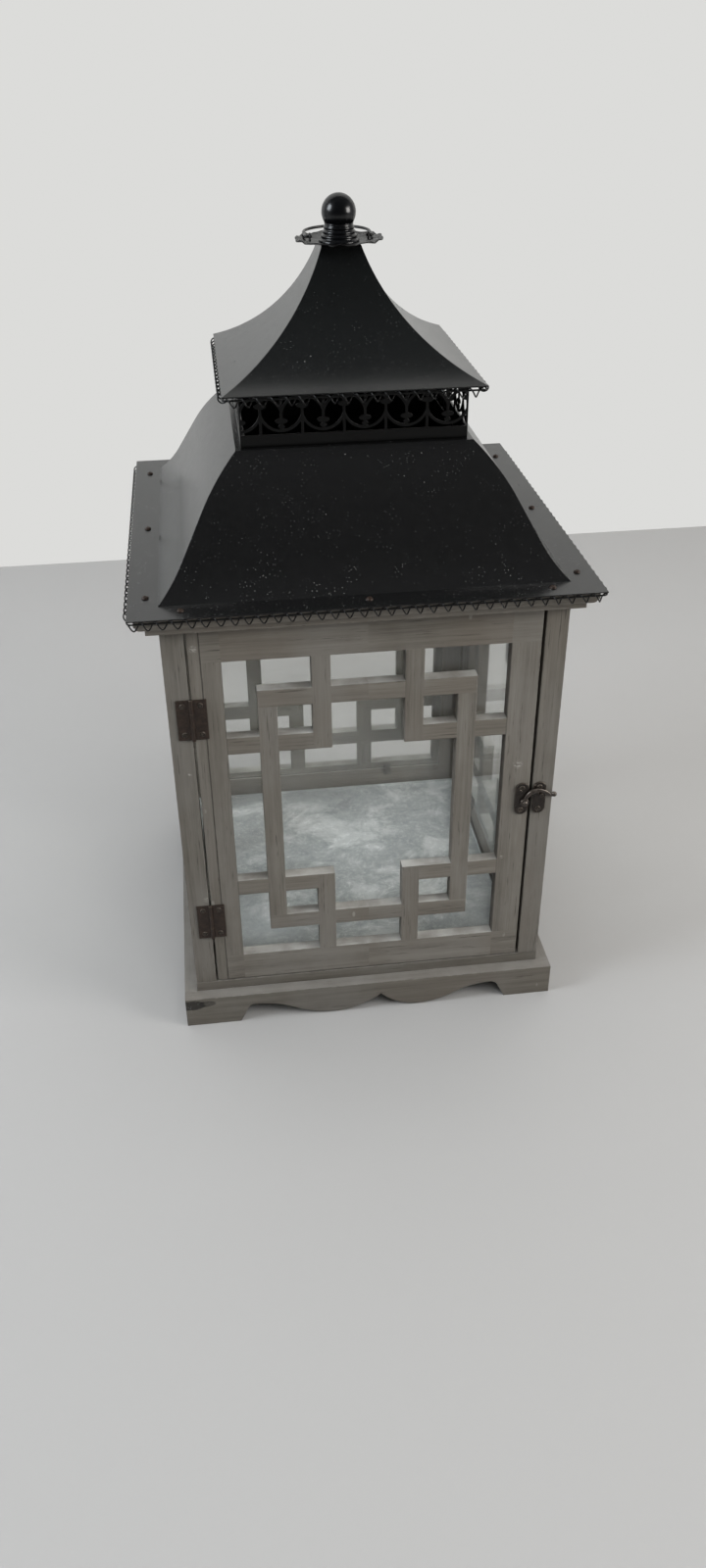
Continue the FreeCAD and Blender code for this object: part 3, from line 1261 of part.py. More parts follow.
def finial():
    """Neck, ball, rod and nut, stacked on the cap."""
    bottom = size.neck_bottom
    foot, top, tall, bead = size.neck_foot, size.neck_top, size.neck_height, size.neck_bead
    bore = size.rod_radius + size.rod_clearance
    outline = [(bore, bottom), (foot + 2 * bead, bottom), (foot + bead, bottom + 0.1 * tall)]
    waist = [foot + (top - foot) * share for share in (0.2, 0.45, 0.7)]
    for share, radius in zip((0.2, 0.45, 0.7), waist):
        level = bottom + share * tall
        outline += [(radius - bead / 2, level - 0.06 * tall), (radius + bead / 2, level),
                    (radius + bead / 2, level + 0.07 * tall), (radius - bead / 2, level + 0.13 * tall)]
    outline += [(top, bottom + 0.9 * tall), (top, bottom + tall), (bore, bottom + tall)]
    neck = revolved("neck_turned", outline)
    seat = math.sqrt((size.ball_radius + size.ball_gap) ** 2 - (top - 0.3) ** 2)
    centre = bottom + tall + seat
    cup = bind(doc.addObject("Part::Sphere", "neck_cup"), Radius="ball_radius + ball_gap")
    cup.Placement.Base = Vector(0, 0, centre)
    cut("finial_neck", neck, cup)
    ball = bind(doc.addObject("Part::Sphere", "ball_solid"), Radius="ball_radius")
    ball.Placement.Base = Vector(0, 0, centre)
    low = centre - size.ball_radius
    socket = cylinder("ball_socket", "0", "0", str(low - 5), "rod_radius + rod_clearance",
                      "rod_in_ball + 5 + seat_gap")
    cut("finial_ball", ball, socket)
    rod_low = size.cap_top - size.roof_gauge - size.rod_below_cap
    cylinder("finial_rod", "0", "0", str(rod_low), "rod_radius",
             str(low + size.rod_in_ball - rod_low))
    prism = doc.addObject("Part::Prism", "nut_prism")
    prism.Polygon = 6
    bind(prism, Circumradius="nut_half / cos(30)", Height="nut_height")
    prism.Placement.Base = Vector(0, 0, size.cap_top - size.roof_gauge - size.seat_gap - size.nut_height)
    hole = cylinder("nut_hole", "0", "0", str(rod_low - 1), "rod_radius + rod_clearance / 2",
                    "rod_below_cap + 3")
    cut("finial_nut", prism, hole)


def bail():
    """The wire handle, bent upright and then laid back on the disc's rim."""
    half, bend, leg = size.bail_half, size.bail_bend, size.bail_leg
    pin_end = half - size.ear_inset - size.ear_thickness / 2 - size.pin_past_ear
    slant = bend * math.sqrt(0.5)
    side = [
        Part.LineSegment(Vector(pin_end, 0, 0), Vector(half - bend, 0, 0)),
        Part.Arc(Vector(half - bend, 0, 0), Vector(half - bend + slant, 0, bend - slant),
                 Vector(half, 0, bend)),
        Part.LineSegment(Vector(half, 0, bend), Vector(half, 0, leg)),
        Part.Arc(Vector(half, 0, leg), Vector(half * math.sqrt(0.5), 0, leg + half * math.sqrt(0.5)),
                 Vector(0, 0, leg + half)),
    ]
    other = [
        Part.Arc(Vector(0, 0, leg + half), Vector(-half * math.sqrt(0.5), 0, leg + half * math.sqrt(0.5)),
                 Vector(-half, 0, leg)),
        Part.LineSegment(Vector(-half, 0, leg), Vector(-half, 0, bend)),
        Part.Arc(Vector(-half, 0, bend), Vector(bend - half - slant, 0, bend - slant),
                 Vector(bend - half, 0, 0)),
        Part.LineSegment(Vector(bend - half, 0, 0), Vector(-pin_end, 0, 0)),
    ]
    path = Part.Wire([item.toShape() for item in side + other])
    ring = Part.Wire([Part.Circle(Vector(pin_end, 0, 0), Vector(1, 0, 0), size.bail_wire / 2).toShape()])
    handle = doc.addObject("Part::Feature", "bail_handle")
    handle.Shape = path.makePipeShell([ring], True, False)
    handle.Placement = FreeCAD.Placement(
        Vector(0, 0, size.bail_pivot_z), FreeCAD.Rotation(Vector(1, 0, 0), -size.bail_lean))


# ---------------------------------------------------------------------------------------------
# Build, check and write
# ---------------------------------------------------------------------------------------------

NODES = [
    "apron_front", "apron_right", "apron_back", "apron_left", "base_board",
    "post_front_left", "post_front_right", "post_back_left", "post_back_right", "door_stop",
    "top_board", "zinc_tray",
    "fretwork_right", "fretwork_back", "fretwork_left",
    "glass_right", "glass_back", "glass_left",
    "glazing_clips_right", "glazing_clips_back", "glazing_clips_left",
    "door_panel", "door_hinge_strip", "door_glass", "glazing_clips_door",
    "upper_hinge_frame_leaf", "upper_hinge_door_leaf", "upper_hinge_pin",
    "lower_hinge_frame_leaf", "lower_hinge_door_leaf", "lower_hinge_pin",
    "latch_plate", "latch_rivet", "latch_hook", "latch_keeper",
    "cabinet_hardware_screws", "door_hardware_screws",
    "lower_roof", "brim_screws", "upper_roof",
    "gallery_front", "gallery_right", "gallery_back", "gallery_left",
    "lower_eave_wire", "lower_coil_front", "lower_coil_right", "lower_coil_back", "lower_coil_left",
    "upper_eave_wire", "upper_coil_front", "upper_coil_right", "upper_coil_back", "upper_coil_left",
    "ruffled_disc", "finial_neck", "finial_ball", "finial_rod", "finial_nut", "bail_handle",
]


def build():
    cabinet()
    top_board()
    fixed_panels()
    front_posts()
    door()
    for word, middle in HINGES:
        hinge(word, middle)
    latch()
    hardware_screws()
    lower_roof()
    upper_roof()
    gallery("gallery_front", size.gallery_half, 0)
    gallery("gallery_right", size.gallery_half - size.gallery_gauge - size.seat_gap, 1)
    gallery("gallery_back", size.gallery_half, 2)
    gallery("gallery_left", size.gallery_half - size.gallery_gauge - size.seat_gap, 3)
    trim("lower", size.brim_trim_half, size.brim_under, ("front",))
    trim("upper", size.eave_trim_half, eave_under(size.eave_half), ("front", "right", "left"))
    ruffled_disc()
    finial()
    bail()
    doc.recompute()


def check_and_write():
    faults = [f"{item.Name}: {item.State}" for item in doc.Objects
              if "Invalid" in item.State or "Error" in item.State]
    by_label = {item.Label: item for item in doc.Objects}
    for name in NODES:
        shape = by_label[name].Shape
        if shape.isNull() or not shape.isValid() or not shape.Solids:
            faults.append(f"{name}: no valid solid")
    if faults:
        raise SystemExit("\n".join(faults))
    os.makedirs("parts", exist_ok=True)
    for name in NODES:
        by_label[name].Shape.exportStep(f"parts/{name}.step")
    print(f"{len(NODES)} nodes, least gap between turns of the trim {coil_gap():.2f} mm")


build()
check_and_write()
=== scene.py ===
import bpy
import math
from mathutils import Matrix, Vector


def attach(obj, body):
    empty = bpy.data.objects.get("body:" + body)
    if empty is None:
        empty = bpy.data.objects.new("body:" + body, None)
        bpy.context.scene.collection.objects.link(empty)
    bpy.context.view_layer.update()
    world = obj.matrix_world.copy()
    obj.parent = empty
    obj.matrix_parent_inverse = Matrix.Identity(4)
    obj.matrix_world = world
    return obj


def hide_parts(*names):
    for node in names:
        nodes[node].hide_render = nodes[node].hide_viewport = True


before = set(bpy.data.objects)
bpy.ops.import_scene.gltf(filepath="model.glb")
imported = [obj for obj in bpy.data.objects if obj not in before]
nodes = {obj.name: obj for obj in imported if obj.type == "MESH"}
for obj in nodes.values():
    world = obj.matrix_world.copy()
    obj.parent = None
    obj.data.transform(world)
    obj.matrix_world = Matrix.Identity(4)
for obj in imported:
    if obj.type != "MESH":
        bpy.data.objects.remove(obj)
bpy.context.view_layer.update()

# Main sizes, in metres: the same values as the solids have.
BODY = 0.177            # half the body: also the face of the door and the front posts
APRON = 0.190
WINDOW = 0.1274
WINDOW_LOW = 0.0784
WINDOW_HIGH = 0.4096
WINDOW_MID = (WINDOW_LOW + WINDOW_HIGH) / 2
RING_BAR = (0.0813, 0.0983)     # the fretwork ring's upright bars, from the middle
RING_TOP = 0.1182               # and how far they reach from the window's middle height
STUB_BAR = (0.033, 0.050)
STUB_FOOT = 0.0719
BRIM_TOP = 0.46385
BRIM = 0.2011
JOINT = -0.1449         # where the hinge strip meets the door
FLOOR = 2.7             # how far the floor reaches from the middle
WALL = 1.05             # how far behind the middle the wall stands
GAP = 0.00005           # between pieces that are screwed down and what they lie on


# ---------------------------------------------------------------------------------------------
# Small helpers for node trees
# ---------------------------------------------------------------------------------------------


class Tree:
    """Builds a node tree. Sockets are passed about as values."""

    def __init__(self, node_tree):
        self.nodes = node_tree.nodes
        self.links = node_tree.links
        self.nodes.clear()

    def put(self, node, key, value):
        socket = node.inputs[key]
        if isinstance(value, bpy.types.NodeSocket):
            self.links.new(value, socket)
        elif isinstance(value, tuple) and len(value) == 3 and socket.type == "RGBA":
            socket.default_value = value + (1,)
        else:
            socket.default_value = value

    def math(self, operation, a, b=0.0):
        node = self.nodes.new("ShaderNodeMath")
        node.operation = operation
        self.put(node, 0, a)
        self.put(node, 1, b)
        return node.outputs[0]

    def stretch(self, vector, scale=(1, 1, 1), shift=(0, 0, 0), turn=(0, 0, 0)):
        node = self.nodes.new("ShaderNodeMapping")
        self.put(node, "Vector", vector)
        self.put(node, "Scale", scale)
        self.put(node, "Location", shift)
        self.put(node, "Rotation", turn)
        return node.outputs[0]

    def noise(self, vector, scale, detail=3.0, rough=0.55, warp=0.0):
        node = self.nodes.new("ShaderNodeTexNoise")
        self.put(node, "Vector", vector)
        self.put(node, "Scale", scale)
        self.put(node, "Detail", detail)
        self.put(node, "Roughness", rough)
        self.put(node, "Distortion", warp)
        return node.outputs[0]

    def cells(self, vector, scale, feature="F1"):
        node = self.nodes.new("ShaderNodeTexVoronoi")
        node.feature = feature
        self.put(node, "Vector", vector)
        self.put(node, "Scale", scale)
        return node.outputs["Distance"]

    def ramp(self, factor, *stops):
        node = self.nodes.new("ShaderNodeValToRGB")
        elements = node.color_ramp.elements
        while len(elements) < len(stops):
            elements.new(0.5)
        for element, (position, colour) in zip(elements, stops):
            element.position = position
            element.color = colour + (1,)
        self.put(node, "Fac", factor)
        return node.outputs["Color"]

    def span(self, value, low, high, start=0.0, end=1.0):
        node = self.nodes.new("ShaderNodeMapRange")
        node.interpolation_type = "SMOOTHSTEP"
        self.put(node, "Value", value)
        self.put(node, "From Min", low)
        self.put(node, "From Max", high)
        self.put(node, "To Min", start)
        self.put(node, "To Max", end)
        return node.outputs["Result"]

    def mix(self, factor, a, b):
        node = self.nodes.new("ShaderNodeMix")
        node.data_type = "RGBA"
        self.put(node, 0, factor)
        self.put(node, 6, a)
        self.put(node, 7, b)
        return node.outputs[2]

    def blend_values(self, factor, a, b):
        node = self.nodes.new("ShaderNodeMix")
        self.put(node, 0, factor)
        self.put(node, 2, a)
        self.put(node, 3, b)
        return node.outputs[0]

    def split(self, vector):
        node = self.nodes.new("ShaderNodeSeparateXYZ")
        self.put(node, 0, vector)
        return node.outputs

    def join(self, x, y, z):
        node = self.nodes.new("ShaderNodeCombineXYZ")
        for key, value in enumerate((x, y, z)):
            self.put(node, key, value)
        return node.outputs[0]

    def blend_vectors(self, factor, a, b):
        node = self.nodes.new("ShaderNodeMix")
        node.data_type = "VECTOR"
        self.put(node, 0, factor)
        self.put(node, 4, a)
        self.put(node, 5, b)
        return node.outputs[1]

    def add_vectors(self, a, b):
        node = self.nodes.new("ShaderNodeVectorMath")
        node.operation = "ADD"
        self.put(node, 0, a)
        self.put(node, 1, b)
        return node.outputs[0]

    def mix_shaders(self, factor, a, b):
        node = self.nodes.new("ShaderNodeMixShader")
        for key, value in enumerate((factor, a, b)):
            self.put(node, key, value)
        return node.outputs[0]

    def facing(self):
        """The way the surface faces."""
        return self.nodes.new("ShaderNodeNewGeometry").outputs["Normal"]

    def edges(self, radius):
        """Rounded normals, and how near a sharp edge each point is."""
        bevel = self.nodes.new("ShaderNodeBevel")
        bevel.samples = 4
        self.put(bevel, "Radius", radius)
        product = self.nodes.new("ShaderNodeVectorMath")
        product.operation = "DOT_PRODUCT"
        self.put(product, 0, bevel.outputs[0])
        self.put(product, 1, self.facing())
        nearness = self.span(product.outputs["Value"], 0.995, 0.8)
        return bevel.outputs[0], nearness


class Coat(Tree):
    """Builds a material round one principled shader."""

    def __init__(self, name):
        self.material = bpy.data.materials.new(name)
        self.material.use_nodes = True
        super().__init__(self.material.node_tree)
        self.out = self.nodes.new("ShaderNodeOutputMaterial")
        self.shader = self.nodes.new("ShaderNodeBsdfPrincipled")
        self.put(self.out, "Surface", self.shader.outputs[0])
        self.place = self.nodes.new("ShaderNodeTexCoord").outputs["Object"]

    def set(self, **values):
        for key, value in values.items():
            self.put(self.shader, key.replace("_", " "), value)

    def bump(self, height, strength, distance, normal=None):
        """Bumps the surface, on top of the rounded normals where given."""
        node = self.nodes.new("ShaderNodeBump")
        self.put(node, "Height", height)
        self.put(node, "Strength", strength)
        self.put(node, "Distance", distance)
        if normal is not None:
            self.put(node, "Normal", normal)
        self.put(self.shader, "Normal", node.outputs[0])

    def near(self, point, radius, place=None):
        """1 at a point, falling to 0 at a radius."""
        node = self.nodes.new("ShaderNodeVectorMath")
        node.operation = "DISTANCE"
        self.put(node, 0, place or self.place)
        self.put(node, 1, point)
        return self.span(node.outputs["Value"], radius, radius * 0.2)


def between(tree, value, low, high):
    """1 where low < value < high."""
    above = tree.math("GREATER_THAN", value, low)
    return tree.math("MULTIPLY", above, tree.math("LESS_THAN", value, high))


def dress(material, *names):
    for name in names:
        mesh = nodes[name].data
        mesh.materials.clear()
        mesh.materials.append(material)


# ---------------------------------------------------------------------------------------------
# Wood
# ---------------------------------------------------------------------------------------------

GRAIN_LONG = 0.032      # grain is this much slower along the board than across it
WOOD_EDGE = 0.0016
STAIN_SHAPE = (0.55, 1.0, 1.2)


def wood(name, grain, seed, tone_and_light_tint, across="x", stains=(), top_dust_and_light=0.0, scuffs=(), joint=None):
    """Grey-washed open-grained wood.

    grain is x, y or z, or 'panel' for fretwork that lies across x or y. The top faces can be lightened,
    partly with dust and partly as painted light from above; stains and scuffs are marks at given points,
    and joint is the x of a dark line.
    """

    # the board's brightness: partly its own tone, partly painted light and shade
    def shade(*colour):
        return tuple(part * tone_and_light_tint for part in colour)

    t = Coat(name)
    x, y, z = t.split(t.place)
    shifted = t.stretch(t.place, shift=(seed * 1.37, seed * 0.71, seed * 2.13))
    scales = {"x": (GRAIN_LONG, 1, 1), "y": (1, GRAIN_LONG, 1), "z": (1, 1, GRAIN_LONG)}
    if grain == "panel":
        along = y if across == "y" else x
        reach = t.math("ABSOLUTE", along)
        height = t.math("ABSOLUTE", t.math("SUBTRACT", z, WINDOW_MID))
        stile = t.math("GREATER_THAN", reach, WINDOW)
        ring = t.math("MULTIPLY", between(t, reach, *RING_BAR), t.math("LESS_THAN", height, RING_TOP))
        stub = t.math("MULTIPLY", between(t, reach, *STUB_BAR), t.math("GREATER_THAN", height, STUB_FOOT))
        rail = t.math("GREATER_THAN", height, (WINDOW_HIGH - WINDOW_LOW) / 2)
        upright = t.math("MAXIMUM", t.math("MAXIMUM", ring, stub), stile)
        upright = t.math("MULTIPLY", upright, t.math("SUBTRACT", 1.0, rail))
        # each bar takes its own slice of grain
        cell = t.math("ADD", t.math("MULTIPLY", stile, 3.1), t.math("MULTIPLY", ring, 1.7))
        slip = t.join(t.math("MULTIPLY", cell, 0.31), cell, t.math("MULTIPLY", t.math("SIGN", along), 0.4))
        shifted = t.add_vectors(shifted, slip)
        vector = t.blend_vectors(upright, t.stretch(shifted, scales[across]),
                                 t.stretch(shifted, scales["z"]))
        edge_gap = t.math("ABSOLUTE", t.math("SUBTRACT", reach, WINDOW))
        seam = t.math("MULTIPLY", t.span(edge_gap, 0.0007, 0.0002), t.math("SUBTRACT", 1.0, rail))
    else:
        vector = t.stretch(shifted, scales[grain])
        seam = None
    streaks = t.noise(vector, 150, 5, 0.66, 0.3)
    bands = t.noise(vector, 34, 4, 0.55, 0.7)
    fibres = t.noise(vector, 800, 3, 0.75)
    patches = t.noise(t.stretch(shifted, (1, 1, 0.6)), 11, 4, 0.6)
    tone = t.math("ADD", t.math("MULTIPLY", streaks, 0.5),
                  t.math("ADD", t.math("MULTIPLY", bands, 0.25), t.math("MULTIPLY", fibres, 0.25)))
    colour = t.ramp(
        tone,
        (0.33, shade(0.078, 0.069, 0.058)),
        (0.44, shade(0.118, 0.107, 0.091)),
        (0.55, shade(0.148, 0.136, 0.117)),
        (0.67, shade(0.196, 0.184, 0.161)),
    )
    wash = t.span(patches, 0.40, 0.68, 0.0, 0.42)
    colour = t.mix(wash, colour, shade(0.20, 0.192, 0.178))
    warm = t.span(t.noise(t.stretch(shifted, (1, 1, 0.5), shift=(3, 1, 2)), 7, 2), 0.45, 0.7, 0.0, 0.3)
    colour = t.mix(warm, colour, shade(0.135, 0.112, 0.090))
    pores = t.span(t.noise(vector, 560, 3, 0.8), 0.39, 0.31, 0.0, 0.7)
    colour = t.mix(pores, colour, (0.035, 0.029, 0.024))
    normal, nearness = t.edges(WOOD_EDGE)
    worn = t.math("MULTIPLY", nearness, t.span(t.noise(shifted, 70, 4, 0.7), 0.46, 0.62))
    colour = t.mix(t.math("MULTIPLY", worn, 0.75), colour, shade(0.32, 0.30, 0.27))
    # darker near sharp edges and in crevices: partly dirt, partly painted shade
    dirt_and_shade_noise = t.noise(t.stretch(shifted, shift=(5, 5, 5)), 55, 4, 0.7)
    edge_dirt_and_shade = t.math("MULTIPLY", nearness, t.span(dirt_and_shade_noise, 0.52, 0.66))
    colour = t.mix(t.math("MULTIPLY", edge_dirt_and_shade, 0.8), colour, (0.045, 0.036, 0.029))
    nick = t.math("MULTIPLY", t.span(t.cells(t.stretch(shifted, (1, 1, 0.45)), 42), 0.085, 0.045),
                  t.span(t.noise(shifted, 9, 2), 0.58, 0.66))
    colour = t.mix(t.math("MULTIPLY", nick, 0.55), colour, (0.42, 0.41, 0.38))
    if seam is not None:
        colour = t.mix(t.math("MULTIPLY", seam, 0.45), colour, (0.04, 0.033, 0.027))
    # top faces lighter: partly dust, partly painted light from above
    if top_dust_and_light:
        up = t.math("GREATER_THAN", t.split(t.facing())[2], 0.8)
        dust = t.math("MULTIPLY", up, t.span(t.noise(shifted, 30, 4), 0.3, 0.7, 0.25, top_dust_and_light))
        colour = t.mix(dust, colour, (0.44, 0.435, 0.415) if grain == "panel" else (0.26, 0.25, 0.235))
    if joint is not None:
        line = t.span(t.math("ABSOLUTE", t.math("SUBTRACT", x, joint)), 0.0008, 0.0003)
        colour = t.mix(t.math("MULTIPLY", line, 0.7), colour, (0.018, 0.014, 0.011))
    for point, radius in scuffs:
        scratch = t.noise(t.stretch(t.place, (0.35, 1, 1.6), turn=(0, 0.6, 0)), 520, 4, 0.8, 0.3)
        mask = t.math("MULTIPLY", t.near(point, radius), t.span(scratch, 0.50, 0.60))
        colour = t.mix(t.math("MULTIPLY", mask, 0.75), colour, (0.48, 0.47, 0.44))
    for point, radius, strength in stains:
        ragged = t.noise(t.stretch(t.place, (0.45, 1, 1.5)), 260, 6, 0.78)
        flat = t.stretch(t.place, STAIN_SHAPE)
        spot = t.near(tuple(a * b for a, b in zip(point, STAIN_SHAPE)), radius, flat)
        mask = t.span(t.math("ADD", spot, ragged), 0.95, 1.15)
        colour = t.mix(t.math("MULTIPLY", mask, strength), colour, (0.012, 0.011, 0.010))
        chips = t.math("MULTIPLY", t.near(point, radius * 1.3), t.span(t.cells(t.place, 420), 0.16, 0.08))
        colour = t.mix(t.math("MULTIPLY", chips, 0.75), colour, (0.42, 0.43, 0.44))
    t.set(Base_Color=colour, Roughness=t.span(tone, 0.3, 0.7, 0.78, 0.62), Specular_IOR_Level=0.32)
    raised = t.math("ADD", t.math("MULTIPLY", fibres, 0.6), t.math("MULTIPLY", streaks, 0.8))
    height = t.math("SUBTRACT", raised, t.math("MULTIPLY", pores, 0.6))
    t.bump(height, 0.55, 0.0005, normal)
    return t.material


def dress_wood():
    """Each board has its own slice of grain (the seed) and its own brightness, which also paints light and
    shade: a board is made lighter or darker for the light that falls on it, and the top board, under the
    roof, is painted lightest.
    """
    stains = [((-0.184, -APRON, 0.027), 0.013, 0.85), ((-0.168, -APRON, 0.028), 0.008, 0.6)]
    dress(wood("wood_apron_front", "x", 1, 0.90, stains=stains, top_dust_and_light=0.5), "apron_front")
    for side, grain, seed in (("back", "x", 2), ("left", "y", 3), ("right", "y", 4)):
        dress(wood("wood_apron_" + side, grain, seed, 0.90, top_dust_and_light=0.5), "apron_" + side)
    dress(wood("wood_base", "x", 5, 0.84, top_dust_and_light=0.5), "base_board")
    dress(wood("wood_top", "x", 6, 1.18, top_dust_and_light=0.3), "top_board")
    marks = {"door_hinge_strip": [((-0.1500, -BODY, 0.4236), 0.0050), ((-0.1525, -BODY, 0.2564), 0.0026)],
             "post_front_left": [((-0.1590, -BODY, 0.1529), 0.0040), ((-0.1630, -BODY, 0.2980), 0.0022)]}
    for seed, name in enumerate(("post_front_left", "post_front_right", "post_back_left",
                                 "post_back_right", "door_stop", "door_hinge_strip")):
        dress(wood("wood_" + name, "z", 7 + seed, 0.97, scuffs=marks.get(name, ()),
                   joint=JOINT if name == "door_hinge_strip" else None), name)
    dress(wood("wood_door", "panel", 14, 1.07, top_dust_and_light=0.85, joint=JOINT,
               scuffs=[((0.1415, -BODY, 0.2816), 0.0055), ((0.1385, -BODY, 0.2850), 0.0035),
                       ((0.1320, -BODY, 0.1750), 0.0030)]), "door_panel")
    for side, across, seed in (("back", "x", 15), ("left", "y", 16), ("right", "y", 17)):
        dress(wood("wood_" + side, "panel", seed, 1.02, across, top_dust_and_light=0.85), "fretwork_" + side)


# ---------------------------------------------------------------------------------------------
# Metals, glass
# ---------------------------------------------------------------------------------------------


def black_paint(name, colour, rough, dust, wave, fleck, edge=0.0008, seam=False, inside_shade=False, gloss=0.5):
    """Satin black paint on sheet or wire, with dust flecks and slight waviness.

    seam draws the mitres of the brim's front corners, and the inside faces can be painted darker and
    duller, as painted shade.
    """
    t = Coat(name)
    normal, nearness = t.edges(edge)
    mottle = t.noise(t.place, 130, 6, 0.7)
    base = t.mix(t.span(mottle, 0.35, 0.7), colour, tuple(c * 1.2 for c in colour))
    speck = t.span(t.cells(t.place, 150), 0.085, 0.035)
    speck = t.math("MULTIPLY", speck, t.span(t.noise(t.place, 60, 3, 0.7), 0.56, 0.64))
    tiny = t.math("MULTIPLY", t.span(t.cells(t.place, 380), 0.17, 0.07),
                  t.span(t.noise(t.place, 48, 3, 0.65), 0.45, 0.62))
    x, y, z = t.split(t.place)
    low = t.span(z, BRIM_TOP + 0.055, BRIM_TOP + 0.002, 0.4, 1.0)
    flecks = t.math("MULTIPLY", t.math("MAXIMUM", speck, t.math("MULTIPLY", tiny, low)), fleck)
    nx, ny, nz = t.split(t.facing())
    up = t.span(nz, 0.2, 0.95, 0.35, 1.0)
    powder = t.noise(t.stretch(t.place, (1, 1, 1.6)), 240, 5, 0.8)
    film = t.math("MULTIPLY", up, t.span(powder, 0.42, 0.72, 0.25 * dust, dust))
    base = t.mix(film, base, (0.16, 0.165, 0.16))
    base = t.mix(t.math("MULTIPLY", flecks, up), base, (0.50, 0.50, 0.48))
    worn = t.math("MULTIPLY", nearness, t.span(t.noise(t.place, 120, 4, 0.7), 0.48, 0.62))
    base = t.mix(t.math("MULTIPLY", worn, 0.22), base, (0.12, 0.11, 0.10))
    if seam:
        diagonal = t.math("ABSOLUTE", t.math("ADD", t.math("ABSOLUTE", x), y))
        flat = t.math("MULTIPLY", t.math("LESS_THAN", z, BRIM_TOP + 0.0006), t.math("LESS_THAN", y, 0.0))
        line = t.math("MULTIPLY", t.span(diagonal, 0.0009, 0.0003), flat)
        base = t.mix(line, base, (0.004, 0.004, 0.004))
    roughness = t.span(t.math("ADD", mottle, film), 0.3, 0.9, rough - 0.01, rough + 0.04)
    # inside faces painted darker and duller: painted shade
    if inside_shade:
        outward = t.math("ADD", t.math("MULTIPLY", x, nx), t.math("MULTIPLY", y, ny))
        inside = t.math("LESS_THAN", outward, -0.002)
        base = t.mix(inside, base, (0.0022, 0.0021, 0.0020))
        roughness = t.blend_values(inside, roughness, 0.95)
        gloss = t.blend_values(inside, gloss, 0.06)
    t.set(Base_Color=base, Roughness=roughness, Specular_IOR_Level=gloss)
    ripple = t.math("ADD", t.math("MULTIPLY", t.noise(t.place, 9, 2), wave),
                    t.math("MULTIPLY", t.noise(t.place, 900, 2), 0.02))
    t.bump(ripple, 0.35, 0.002, normal)
    return t.material


def bronze(name, colour, light, rough, edge, top=0.0):
    """Antique-bronzed hardware: dark brown with edges rubbed lighter, partly wear and partly painted
    highlight, and tops where asked painted lighter as a highlight.
    """
    t = Coat(name)
    normal, nearness = t.edges(edge)
    mottle = t.noise(t.place, 260, 5, 0.7)
    base = t.mix(t.span(mottle, 0.38, 0.66), colour, tuple(c * 2.1 for c in colour))
    # edges lighter: partly rubbed wear, partly painted highlight
    rub_and_highlight = t.math("MULTIPLY", nearness, t.span(t.noise(t.place, 400, 3), 0.34, 0.55))
    # faces turned up painted lighter where asked: a painted highlight
    if top:
        up = t.span(t.split(t.facing())[2], 0.1, 0.75, 0.0, top)
        rub_and_highlight = t.math("MAXIMUM", rub_and_highlight, t.math("MULTIPLY", up, t.span(mottle, 0.3, 0.5, 0.5, 1.0)))
    base = t.mix(t.math("MULTIPLY", rub_and_highlight, 0.85), base, light)
    t.set(Base_Color=base, Roughness=t.span(mottle, 0.3, 0.7, rough - 0.08, rough + 0.16),
          Metallic=t.math("ADD", 0.45, t.math("MULTIPLY", rub_and_highlight, 0.4)))
    t.bump(t.math("ADD", mottle, t.math("MULTIPLY", t.noise(t.place, 90, 2), 0.7)), 0.5, 0.0003, normal)
    return t.material


def dull_steel():
    t = Coat("dull_steel")
    normal, _ = t.edges(0.0004)
    mottle = t.noise(t.place, 300, 4)
    t.set(Base_Color=t.ramp(mottle, (0.35, (0.085, 0.08, 0.072)), (0.65, (0.15, 0.142, 0.13))),
          Roughness=t.span(mottle, 0.3, 0.7, 0.32, 0.5), Metallic=0.55)
    t.bump(mottle, 0.2, 0.0002, normal)
    return t.material


